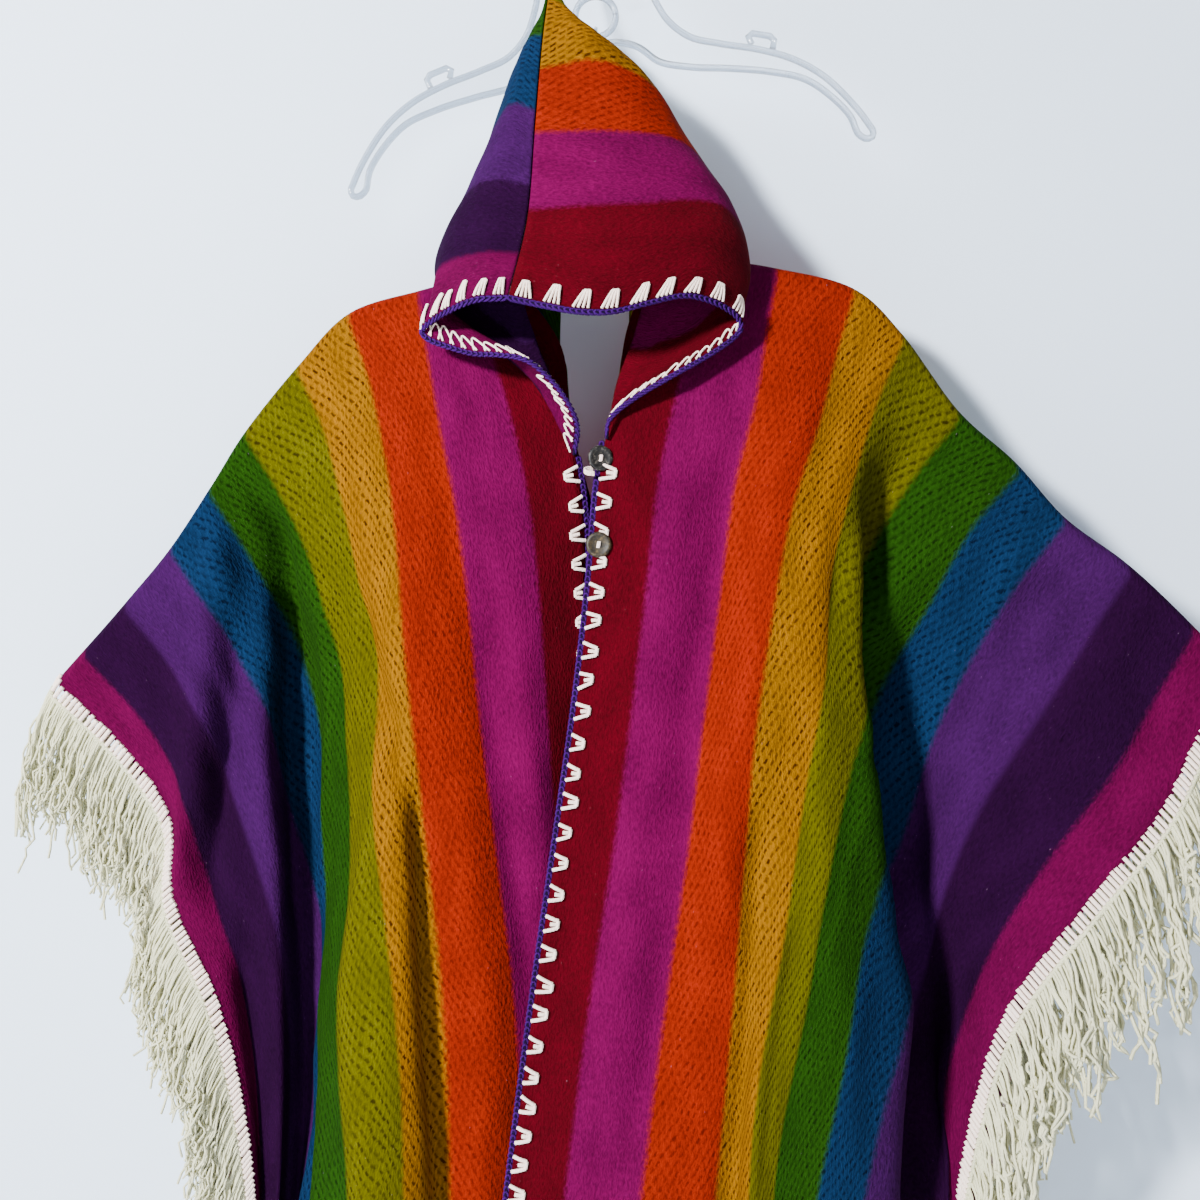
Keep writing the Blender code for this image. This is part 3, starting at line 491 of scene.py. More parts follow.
def crease_field(panel: Panel, across: np.ndarray, along: np.ndarray) -> np.ndarray:
    """How far the cloth stands out of its plain form.

    Args:
        panel: The length of cloth.
        across: Distance across of each column, in metres.
        along: Grain distance of each row, in metres.

    Returns:
        A height in metres for every row and column, nought near the edges.
    """
    u, v = np.meshgrid(across / MM, along / MM)
    field = np.zeros_like(u)
    for crease in panel.creases:
        path = np.array(crease.path, float)
        nearest = np.full_like(u, 1e9)
        for start, end in zip(path, path[1:]):
            way = end - start
            share = np.clip(((u - start[0]) * way[0] + (v - start[1]) * way[1])
                            / float(way @ way), 0, 1)
            span = np.hypot(u - start[0] - share * way[0],
                            (v - start[1] - share * way[1]) * CREASE_DRAWN_OUT)
            nearest = np.minimum(nearest, span)
        field += crease.depth * CREASE_GAIN * MM * np.exp(-(nearest / crease.width) ** 2)
    turn = panel.side * 1.7
    field += SLOW_RIPPLE * (np.sin(u / 21 + np.sin(v / 90 + turn) * 1.4 + turn)
                            * (0.35 + 0.65 * np.clip(np.abs(v) / 600, 0, 1)))
    field += 0.5 * MM * np.sin(u / 9.0 + v / 37.0 + turn) * np.sin(v / 26.0 - u / 33.0)
    field += 0.35 * MM * np.sin(u / 5.2 - v / 11.0) * np.sin(v / 14.0 + u / 17.0 + turn)
    calm = np.clip(np.minimum(u, CLOTH_WIDTH / MM - u) / (EDGE_CALM / MM), 0, 1)
    calm *= np.clip((np.abs(v) - TOP_CALM[0]) / TOP_CALM[1], 0, 1)
    return field * calm * calm * (3 - 2 * calm)


class Surface:
    """A cloth as a grid of points with the distances that its rows and columns stand for."""

    def __init__(self, points: np.ndarray, rows: np.ndarray, columns: np.ndarray,
                 side: int, arcs: np.ndarray | None = None) -> None:
        """Keep the grid and work out its outer normals.

        Args:
            points: Points by row and column.
            rows: Grain distance of each row.
            columns: Distance across of each column.
            side: 1 where row by column already turns the normal outwards, else -1.
            arcs: Distance along the grain of every point, where it differs between columns.
        """
        self.arcs = np.repeat(rows[:, None], len(columns), axis=1) if arcs is None else arcs
        self.points = points
        self.rows = rows
        self.columns = columns
        self.side = side
        normals = np.cross(np.gradient(points, axis=1), np.gradient(points, axis=0)) * side
        self.normals = unit(normals)

    def raised(self, field: np.ndarray) -> "Surface":
        """The same cloth with every point moved out along its normal."""
        return Surface(self.points + self.normals * field[..., None], self.rows,
                       self.columns, self.side, self.arcs)

    def _read(self, values: np.ndarray, across: np.ndarray, along: np.ndarray) -> np.ndarray:
        """Grid values at distances across and along the cloth, between its points."""
        r = np.interp(along, self.rows, np.arange(len(self.rows)))
        c = np.interp(across, self.columns, np.arange(len(self.columns)))
        r0 = np.clip(r.astype(int), 0, len(self.rows) - 2)
        c0 = np.clip(c.astype(int), 0, len(self.columns) - 2)
        dr, dc = (r - r0)[..., None], (c - c0)[..., None]
        return (values[r0, c0] * (1 - dr) * (1 - dc) + values[r0 + 1, c0] * dr * (1 - dc)
                + values[r0, c0 + 1] * (1 - dr) * dc + values[r0 + 1, c0 + 1] * dr * dc)

    def at(self, across: Place, along: Place, lift: Place = 0.0) -> np.ndarray:
        """Points on the cloth, lifted off its middle along the outer normal."""
        across, along, lift = np.broadcast_arrays(*(np.asarray(v, float)
                                                    for v in (across, along, lift)))
        normal = unit(self._read(self.normals, across, along))
        return self._read(self.points, across, along) + normal * lift[..., None]

    def normal(self, across: Place, along: Place) -> np.ndarray:
        """Outer normals at places on the cloth."""
        across, along = np.broadcast_arrays(np.asarray(across, float), np.asarray(along, float))
        return unit(self._read(self.normals, across, along))

    def rim(self, along: np.ndarray, outer: bool) -> tuple[np.ndarray, np.ndarray, np.ndarray]:
        """Places on a side edge, the ways out of the cloth there, and the outer normals."""
        edge = self.columns[-1] if outer else self.columns[0]
        inside = edge + (-6 * MM if outer else 6 * MM)
        points = self.at(edge, along)
        ways = unit(points - self.at(inside, along))
        return points, ways, self.normal(edge, along)

    def shell(self, name: str, thickness: float,
              material: bpy.types.Material) -> bpy.types.Object:
        """A closed thin wall on this form, with the cloth's own distances as its UV map.

        Args:
            name: Name of the piece.
            thickness: Of the wall.
            material: Its material.

        Returns:
            The finished object.
        """
        rows, columns = self.points.shape[:2]
        outer = (self.points + self.normals * thickness / 2).reshape(-1, 3)
        inner = (self.points - self.normals * thickness / 2).reshape(-1, 3)
        count = rows * columns
        base = (np.arange(rows - 1)[:, None] * columns + np.arange(columns - 1)).ravel()
        quads = np.column_stack((base, base + 1, base + columns + 1, base + columns))
        rim = list(range(columns)) + [r * columns + columns - 1 for r in range(1, rows)]
        rim += [(rows - 1) * columns + c for c in range(columns - 2, -1, -1)]
        rim += [r * columns for r in range(rows - 2, 0, -1)]
        rim = np.array(rim)
        after = np.roll(rim, -1)
        skirt = np.column_stack((after, rim, rim + count, after + count))
        faces = np.concatenate((quads, quads[:, ::-1] + count, skirt))
        if self.side < 0:
            faces = faces[:, ::-1]
        mesh = bpy.data.meshes.new(name)
        mesh.from_pydata(np.concatenate((outer, inner)).tolist(), [], faces.tolist())
        across = np.tile(self.columns, rows)
        places = np.tile(np.column_stack((across, self.arcs.ravel())), (2, 1))
        layer = mesh.uv_layers.new(name="cloth")
        layer.data.foreach_set("uv", places[faces.ravel()].ravel())
        mesh.shade_smooth()
        return linked(name, mesh, material)


def panel_surface(panel: Panel) -> Surface:
    """One length of cloth with its fine rows and creases."""
    across = np.linspace(0, CLOTH_WIDTH, round(CLOTH_WIDTH / ACROSS_STEP) + 1)
    down = np.linspace(0, GRAIN_LENGTH, round(GRAIN_LENGTH / ALONG_STEP) + 1)
    points, rows = cloth_points(panel, across, down, (-67.5, -45, -22.5, 0, 22.5, 45, 67.5), down)
    plain = Surface(points, rows, across, panel.side)
    return plain.raised(crease_field(panel, across, rows))


# ================================================================ the hood's form
class HoodForm:
    """The hood half sewn to one length of cloth, built as its solid is, then made finer."""

    EXTRA_KEY = 0.9                  # place of the key between a line's last point and its end
    CHIN_DROP = 0.8                  # how much nearer to the seam the line at the chin ends
    BROW_LENGTH = 0.6                # share of the face edge that sags over the brow
    BROW_FADE = 0.2                  # share of the depth that the sag fades over
    SEAM_TURN = 1.03                 # the seam's place after the last row, at 1
    ROW_POINTS, COLUMN_POINTS = 6, 5  # on each step of the solid, ends counted
    ROW_ORDER = 1e-6                 # keeps the rows' distances rising where two rows meet

    def __init__(self, panel: Panel, lines: Sequence[HoodLine]) -> None:
        """Read the solid's own rows and columns.

        Args:
            panel: The length of cloth that the half is sewn to.
            lines: The hood's lines from its face edge to its back.
        """
        self.panel = panel
        self.lines = lines
        positions = [0.0]
        for start, end, steps in zip(STATIONS, STATIONS[1:], STEPS_BETWEEN_STATIONS):
            positions += [start + (end - start) * k / steps for k in range(1, steps + 1)]
        self.grid, self.rows = cloth_points(panel, positions, np.array(FRONT_ROWS) * MM,
                                            FOLD_ANGLES, np.array(BACK_ROWS) * MM)

    def neck_places(self) -> np.ndarray:
        """Where the hood's columns meet the neck edge."""
        first, last = -NECK_IN_FRONT - HALF_TURN, NECK_BEHIND + HALF_TURN
        rows = [first] + [row for row in self.rows if first < row < last] + [last]
        places = []
        for start, end in zip(rows, rows[1:]):
            parts = math.ceil((end - start) / NECK_STEP)
            places += [start + (end - start) * k / parts for k in range(parts)]
        return np.array(places + [last])

    def neck_lines(self, places: np.ndarray) -> tuple[np.ndarray, np.ndarray]:
        """The hood's lower edge outside the slit's edge.

        Args:
            places: Grain distances along the neck edge.

        Returns:
            The seam itself, and a line a little above it that the hood rises through.
        """
        edge, inner = self.grid[:, 0], self.grid[:, 1]
        along = np.gradient(edge, self.rows, axis=0)
        side = self.panel.side
        faces = unit(np.cross(edge[1:] - inner[:-1], edge[:-1] - inner[1:])) * side
        normals = unit(np.concatenate((faces[:1], faces)) + np.concatenate((faces, faces[-1:])))
        outward = unit(np.cross(normals, along)) * side
        points = read_along(self.rows, edge, places)
        normals = unit(read_along(self.rows, normals, places))
        outward = unit(read_along(self.rows, outward, places))
        seam = points + normals * (CLOTH + SEAM_GAP)
        return seam, seam + normals * SEAM_RISE - outward * SEAM_LAP

    def laid_over(self, points: np.ndarray, distance: float) -> np.ndarray:
        """Points near the shoulder moved out of the cloth until they clear it.

        Args:
            points: Any array of points.
            distance: How far they have to stand off the cloth.

        Returns:
            The moved points, in the same order.
        """
        places = np.arange(-SHOULDER_REACH, SHOULDER_REACH, SHOULDER_STEP)
        columns = [read_along(self.rows, self.grid[:, k], places)
                   for k in range(self.grid.shape[1] // 2)]
        cloth = np.array([a + (b - a) * part for a, b in zip(columns, columns[1:])
                          for part in (0, 0.25, 0.5, 0.75)])
        normals = unit(np.cross(np.gradient(cloth, axis=0), np.gradient(cloth, axis=1))
                       * self.panel.side).reshape(-1, 3)
        cloth = cloth.reshape(-1, 3)
        flat = points.reshape(-1, 3).copy()
        for _ in range(3):
            apart = flat[:, None, :] - cloth[None, :, :]
            nearest = np.linalg.norm(apart, axis=2).argmin(axis=1)
            way = apart[np.arange(len(flat)), nearest]
            height = np.sum(way * normals[nearest], axis=1)
            near = np.linalg.norm(way, axis=1) < COVER_REACH
            flat += normals[nearest] * np.where(near, np.clip(distance - height, 0, None),
                                                0)[:, None]
        return flat.reshape(points.shape)

    def surface(self) -> Surface:
        """The finished half: rows from the top seam to the neck, columns by depth."""
        places = self.neck_places()
        seam, above = self.neck_lines(places)
        shares = (places - places[0]) / (places[-1] - places[0])
        stations = np.array([list(line.points) for line in self.lines], float) * MM
        depths = [line.depth for line in self.lines]
        side = self.panel.side
        drops = np.append(np.linspace(0, 1, stations.shape[1] + 1)[:-1], (self.EXTRA_KEY, 1.0))
        pull = np.array(CHIN_PULL[0 if side < 0 else 1]) * MM
        columns = []
        for share, high, low in zip(shares, above, seam):
            near = max(0.0, 1 - share / CHIN_REACH) ** 2
            end = high + (low - high) * self.CHIN_DROP * near
            line = smooth(depths, stations, np.array([share]))[0]
            line = np.vstack((line, (line[-1] + end) / 2 + pull * near, end))
            columns.append(smooth(drops, line, np.linspace(0, 1, HOOD_ROWS)))
        grid = np.array(columns).transpose(1, 0, 2)
        brow = np.sin(np.clip(np.linspace(0, 1, HOOD_ROWS) / self.BROW_LENGTH, 0, 1) * math.pi)
        fade = np.exp(-(shares / self.BROW_FADE) ** 2)
        grid[..., 2] -= BROW_DROP[0 if side < 0 else 1] * brow[:, None] * fade
        grid[:-1] = self.laid_over(grid[:-1], CLOTH + HOOD_CLEARANCE)
        grid = np.concatenate((grid, seam[None]))
        grid[0, :, 0] += side * RIDGE_HALF_GAP
        sewn = round(BACK_SEAM_END * HOOD_ROWS)
        grid[:sewn + 1, -1, 0] += side * BACK_SEAM_HALF_GAP
        turns = np.append(np.linspace(0, 1, HOOD_ROWS), self.SEAM_TURN)
        fine_rows, fine_columns = (
            np.unique(np.concatenate([np.linspace(a, b, points)
                                      for a, b in zip(keys, keys[1:])]))
            for keys, points in ((turns, self.ROW_POINTS), (shares, self.COLUMN_POINTS)))
        grid = smooth(turns, grid, fine_rows)
        grid = smooth(shares, grid.transpose(1, 0, 2), fine_columns).transpose(1, 0, 2)
        steps = np.linalg.norm(np.diff(grid, axis=0), axis=2)
        arcs = np.concatenate((np.zeros((1, grid.shape[1])), np.cumsum(steps, axis=0)))
        hood = Surface(grid, arcs[:, 0] + fine_rows * self.ROW_ORDER,
                       fine_columns * HOOD_DEPTH, side, arcs)
        u, v = np.meshgrid(hood.columns / MM, hood.rows / MM)
        ripple = (0.7 * MM * np.sin(u / 19 + v / 31 + side) * np.sin(v / 24 - u / 47)
                  + 0.35 * MM * np.sin(u / 8 - v / 13) * np.sin(v / 10 + side))
        calm = (np.clip(u / 20, 0, 1) * np.clip((HOOD_DEPTH / MM - u) / 30, 0, 1)
                * np.clip(v / 20, 0, 1) * np.clip((0.84 * v.max() - v) / 40, 0, 1))
        return hood.raised(ripple * calm)


# ================================================================ shading
class NodeBuilder:
    """Anything that adds nodes to a tree."""

    tree: bpy.types.NodeTree

    def node(self, kind: str, sockets: dict | None = None, **settings) -> bpy.types.Node:
        """Add a node.

        Args:
            kind: Its type name.
            sockets: Values, or other sockets, for its inputs.
            settings: Its own settings, which are made first.

        Returns:
            The node.
        """
        node = self.tree.nodes.new(kind)
        for key, value in settings.items():
            setattr(node, key, value)
        for key, value in (sockets or {}).items():
            value = value.socket if isinstance(value, Maths) else value
            if isinstance(value, Socket):
                self.tree.links.new(value, node.inputs[key])
            else:
                node.inputs[key].default_value = value
        return node

    def out(self, kind: str, sockets: dict | None = None, **settings) -> Socket:
        """The first output of a new node."""
        return self.node(kind, sockets, **settings).outputs[0]


class Maths:
    """A shader value that adds Math nodes when it is used in Python arithmetic."""

    def __init__(self, shader: "Shader", socket: Socket | float) -> None:
        """Wrap one output socket, or a plain number, of a shader's tree."""
        self.shader = shader
        self.socket = socket

    def combined(self, operation: str, *others: "Maths | float") -> "Maths":
        """This value and others put through one Math node."""
        return Maths(self.shader, self.shader.out(
            "ShaderNodeMath", dict(enumerate((self, *others))), operation=operation))

    __add__ = __radd__ = partialmethod(combined, "ADD")
    __mul__ = __rmul__ = partialmethod(combined, "MULTIPLY")
    __sub__ = partialmethod(combined, "SUBTRACT")
    __truediv__ = partialmethod(combined, "DIVIDE")
    __abs__ = partialmethod(combined, "ABSOLUTE")
    floor = partialmethod(combined, "FLOOR")
    fraction = partialmethod(combined, "FRACT")

    def __rsub__(self, other: float) -> "Maths":
        """A plain number less this value."""
        return Maths(self.shader, other) - self

    def below(self, edge: float, soft: float) -> "Maths":
        """One where the value is under the edge, fading to nought over soft."""
        return Maths(self.shader, self.shader.out(
            "ShaderNodeMapRange", {0: self, 1: edge - soft / 2, 2: edge + soft / 2, 3: 1.0, 4: 0.0},
            interpolation_type="SMOOTHSTEP"))


class Shader(NodeBuilder):
    """A Principled material and the nodes that feed it."""

    def __init__(self, name: str, **fixed: float) -> None:
        """Make the material; fixed gives plain values for the shader's own sockets."""
        self.material = bpy.data.materials.new(name)
        self.material.use_nodes = True
        self.tree = self.material.node_tree
        self.principled = self.tree.nodes["Principled BSDF"]
        for key, value in fixed.items():
            self.principled.inputs[key.replace("_", " ")].default_value = value

    def ramp(self, factor: Maths, stops: Sequence[tuple[float, Colour]]) -> Socket:
        """A colour read along stops, each a place and its colour."""
        node = self.node("ShaderNodeValToRGB", {0: factor})
        elements = node.color_ramp.elements
        elements.remove(elements[-1])
        for index, (place, colour) in enumerate(stops):
            stop = elements.new(place) if index else elements[0]
            stop.position, stop.color = place, colour
        return node.outputs[0]

    def place(self, source: str = "", scale: tuple[float, float, float] = (1, 1, 1)) -> Socket:
        """Object coordinates, or those of a UV map if one is named, stretched."""
        vector = (self.out("ShaderNodeUVMap", uv_map=source) if source
                  else self.node("ShaderNodeTexCoord").outputs["Object"])
        return self.out("ShaderNodeMapping", {"Vector": vector, "Scale": scale})

    def noise(self, vector: Socket, scale: float, detail: float = 3.0,
              roughness: float = 0.55) -> Maths:
        """Noise between nought and one."""
        return Maths(self, self.out("ShaderNodeTexNoise", {
            "Vector": vector, "Scale": scale, "Detail": detail, "Roughness": roughness}))

    def chances(self, first: Maths, second: Maths) -> list[Maths]:
        """Three even random values for each pair of whole numbers."""
        pair = self.out("ShaderNodeCombineXYZ", {0: first, 1: second})
        colour = self.node("ShaderNodeTexWhiteNoise", {"Vector": pair},
                           noise_dimensions="2D").outputs["Color"]
        split = self.node("ShaderNodeSeparateColor", {0: colour})
        return [Maths(self, output) for output in split.outputs]

    def mix(self, factor: Maths, first: Socket, second: Colour, blend: str = "MIX") -> Socket:
        """Two colours mixed."""
        return self.node("ShaderNodeMix", {0: factor, 6: first, 7: second},
                         data_type="RGBA", blend_type=blend).outputs[2]

    def scaled(self, colour: Socket | Colour, brightness: Maths) -> Socket:
        """A colour made lighter or darker by a value."""
        colour = colour[:3] if isinstance(colour, tuple) else colour
        return self.out("ShaderNodeVectorMath", {0: colour, "Scale": brightness},
                        operation="SCALE")

    def feed(self, socket: str, value: Maths | Socket) -> None:
        """Link a value to one of the shader's sockets."""
        value = value.socket if isinstance(value, Maths) else value
        self.tree.links.new(value, self.principled.inputs[socket])

    def bump(self, height: Maths, distance: float, strength: float) -> None:
        """Give the surface a fine relief."""
        self.feed("Normal", self.out("ShaderNodeBump", {
            "Height": height, "Distance": distance, "Strength": strength}))


@dataclass(frozen=True)
class Dye:
    """One stripe's colour and whether its weave shows."""

    colour: Colour
    weave: float


DYES = {
    "crimson": Dye(srgb(64, 3, 12), 0.0), "magenta": Dye(srgb(80, 0, 50), 0.0),
    "orange": Dye(srgb(110, 20, 2), 0.55), "yellow": Dye(srgb(108, 69, 0), 1.0),
    "lime": Dye(srgb(66, 64, 5), 0.8), "green": Dye(srgb(19, 48, 4), 0.75),
    "blue": Dye(srgb(8, 30, 56), 0.75), "violet": Dye(srgb(42, 9, 54), 0.12),
    "plum": Dye(srgb(25, 2, 30), 0.1), "raspberry": Dye(srgb(70, 0, 42), 0.0)}


@dataclass(frozen=True)
class StripedWool:
    """Thick brushed wool woven in stripes across its UV map."""

    name: str
    stripes: tuple[tuple[float, str], ...]   # far side of each stripe in metres, and its dye
    width: float

    BLEED = 2.2 * MM
    ROW, STITCH = 6.8 * MM, 5.8 * MM     # the coarse weave's rows and the gaps along them

    def _stops(self, pick: Callable[[Dye], Colour]) -> list[tuple[float, Colour]]:
        """Two stops at every join, so that neighbouring dyes bleed into each other."""
        stops = []
        for (far, dye), (_, after) in zip(self.stripes, self.stripes[1:]):
            stops += [((far - self.BLEED) / self.width, pick(DYES[dye])),
                      ((far + self.BLEED) / self.width, pick(DYES[after]))]
        return stops

    def build(self) -> bpy.types.Material:
        """Make the material."""
        shader = Shader(self.name, Roughness=1.0, Specular_IOR_Level=0.03)
        uv = shader.place("cloth", (1.0, 0.42, 1.0))
        split = shader.node("ShaderNodeSeparateXYZ", {0: shader.place("cloth")})
        u, v = Maths(shader, split.outputs[0]), Maths(shader, split.outputs[1])
        fibre = shader.noise(uv, 480, 1, 0.8)
        clouds = shader.noise(uv, 52, 0)
        share = (u + (fibre - 0.5) * 0.006) / self.width
        colour = shader.ramp(share, self._stops(lambda dye: dye.colour))
        weave = Maths(shader, shader.ramp(share, self._stops(lambda dye: (dye.weave,) * 3
                                                             + (1.0,))))
        gaps, raised_thread_highlight = self._weave(shader, u, v, clouds, fibre)
        gaps, raised_thread_highlight = gaps * weave, raised_thread_highlight * weave
        # The raised threads beside the gaps are lightened here: a painted highlight.
        colour = shader.scaled(colour, 0.22 + fibre * 1.06 + clouds * 0.50 + raised_thread_highlight * 0.7)
        colour = shader.mix(gaps * 0.96, colour, (0.11, 0.04, 0.09, 1.0), "MULTIPLY")
        specks = 1 - fibre.below(0.80, 0.04)
        shader.feed("Base Color", shader.mix(specks * 0.3, colour, (0.26, 0.17, 0.24, 1.0)))
        shader.bump(fibre + clouds * 0.3, 0.0018, 0.7)
        return shader.material

    def _weave(self, shader: Shader, u: Maths, v: Maths, clouds: Maths,
               fibre: Maths) -> tuple[Maths, Maths]:
        """Short slanting gaps in loosely staggered rows.

        Args:
            shader: The material's shader.
            u: Distance across the cloth.
            v: Distance along it.
            clouds: Slow noise that bends the rows.
            fibre: Fine noise that frays them.

        Returns:
            The gaps, and a painted highlight that lightens the raised threads between them.
        """
        line = (v + (clouds - 0.5) * 0.010) / self.ROW
        cell = u / self.STITCH + line.floor() * 0.47 + (clouds - 0.5) * 1.6
        aside, above, strong = shader.chances(cell.floor(), line.floor())
        x, y = cell.fraction() - 0.5, line.fraction() - 0.5
        lean = abs(x + (aside - 0.5) * 0.30 + (fibre - 0.5) * 0.5 - y * 0.50)
        gaps = lean.below(0.16, 0.16) * abs(y + (above - 0.5) * 0.22).below(0.33, 0.20)
        worn = (0.5 + strong * 0.5) * (1 - clouds.below(0.42, 0.25) * 0.5)
        # abs(x) - 0.25 lightens each cell's sides, away from its gap: a painted highlight on the
        # raised threads.
        return gaps * worn, abs(x) - 0.25


def body_wool() -> bpy.types.Material:
    """The stripes of the two long lengths, from the centre front outwards."""
    far = np.cumsum(STRIPE_WIDTHS) * MM
    return StripedWool("striped_wool", tuple(zip(far.tolist(), STRIPE_NAMES)), CLOTH_WIDTH).build()


def hood_wool(name: str, shares: Sequence[tuple[float, str]]) -> bpy.types.Material:
    """The stripes of one half of the hood, from its face edge to its peak."""
    return StripedWool(name, tuple((share * HOOD_DEPTH, dye) for share, dye in shares),
                       HOOD_DEPTH).build()


@dataclass(frozen=True)
class Yarn:
    """Spun yarn: fringe, crochet or sewing thread."""

    name: str
    colour: Colour
    shade: float

    def build(self) -> bpy.types.Material:
        """Make the material."""
        shader = Shader(self.name, Roughness=0.95, Specular_IOR_Level=0.1)
        twist = shader.noise(shader.place(scale=(1.0, 1.0, 0.45)), 1300, 0)
        patches = shader.noise(shader.place(), 60, 0)
        light = (1 - self.shade) + twist * self.shade + patches * self.shade * 0.6
        shader.feed("Base Color", shader.scaled(self.colour, light))
        shader.bump(twist, 0.0012, 0.6)
        return shader.material


@dataclass(frozen=True)
class Shell:
    """Polished mottled shell for the buttons."""

    name: str
    tones: tuple[Colour, ...]

    PLACES = (0.40, 0.48, 0.54, 0.62)    # where each tone is full

    def build(self) -> bpy.types.Material:
        """Make the material."""
        shader = Shader(self.name, Specular_IOR_Level=0.4)
        clouds = shader.noise(shader.place(), 330, 3, 0.65)
        veins = shader.noise(shader.place(scale=(1.0, 1.0, 2.4)), 420, 3, 0.7)
        shader.feed("Base Color", shader.ramp(clouds * 0.6 + veins * 0.4,
                                              tuple(zip(self.PLACES, self.tones))))
        shader.feed("Roughness", 0.38 + veins * 0.30)
        shader.bump(veins, 0.0004, 0.3)
        return shader.material


@dataclass(frozen=True)
class Clear:
    """Clear moulded plastic."""

    name: str
    tint: Colour
    body: float                      # how much light the moulding stops

    def build(self) -> bpy.types.Material:
        """Make the material."""
        shader = Shader(self.name, Transmission_Weight=1.0, IOR=1.47)
        wear = shader.noise(shader.place(), 90, 4)
        streaks = shader.noise(shader.place(scale=(0.3, 1.0, 1.0)), 240, 3)
        shader.feed("Base Color", shader.scaled(self.tint, 0.93 + wear * 0.08))
        shader.feed("Roughness", 0.04 + streaks * 0.10)
        shader.feed("Alpha", self.body + wear * 0.12)
        shader.bump(wear, 0.0006, 0.15)
        return shader.material


@dataclass(frozen=True)
class Steel:
    """Plated wire."""

    name: str = "plated_wire"

    def build(self) -> bpy.types.Material:
        """Make the material."""
        shader = Shader(self.name, Metallic=1.0)
        dull = shader.noise(shader.place(), 110, 4)
        scratches = shader.noise(shader.place(scale=(1.0, 1.0, 0.15)), 900, 2)
        shader.feed("Base Color", shader.scaled((0.66, 0.66, 0.68, 1.0), 0.8 + dull * 0.25))
        shader.feed("Roughness", 0.16 + dull * 0.18 + scratches * 0.08)
        shader.bump(scratches, 0.0002, 0.2)
        return shader.material


@dataclass(frozen=True)
class Plaster:
    """Plain pale wall or floor; a one-sided wall is clear from behind."""

    name: str
    colour: Colour
    one_sided: bool = False

    def build(self) -> bpy.types.Material:
        """Make the material."""
        shader = Shader(self.name, Roughness=0.9)
        clouds = shader.noise(shader.place(), 2.2, 0)
        shader.feed("Base Color", shader.scaled(self.colour, 0.97 + clouds * 0.05))
        if self.one_sided:
            behind = shader.node("ShaderNodeNewGeometry").outputs["Backfacing"]
            choice = shader.out("ShaderNodeMixShader", {
                0: behind, 1: shader.principled.outputs[0],
                2: shader.out("ShaderNodeBsdfTransparent")})
            shader.tree.links.new(choice, shader.tree.nodes["Material Output"].inputs["Surface"])
        return shader.material


# ================================================================ tubes by Geometry Nodes
@dataclass(frozen=True)
class Cord:
    """How a set of lines becomes yarn; the fields are in the order of TubeTree.SOCKETS."""

    radius: float
    sides: int = 5
    wave: float = 0.0
    wave_scale: float = 40.0
    frizz: float = 0.0
    stray: float = 0.0               # how little neighbouring strands move together
    seed: int = 3


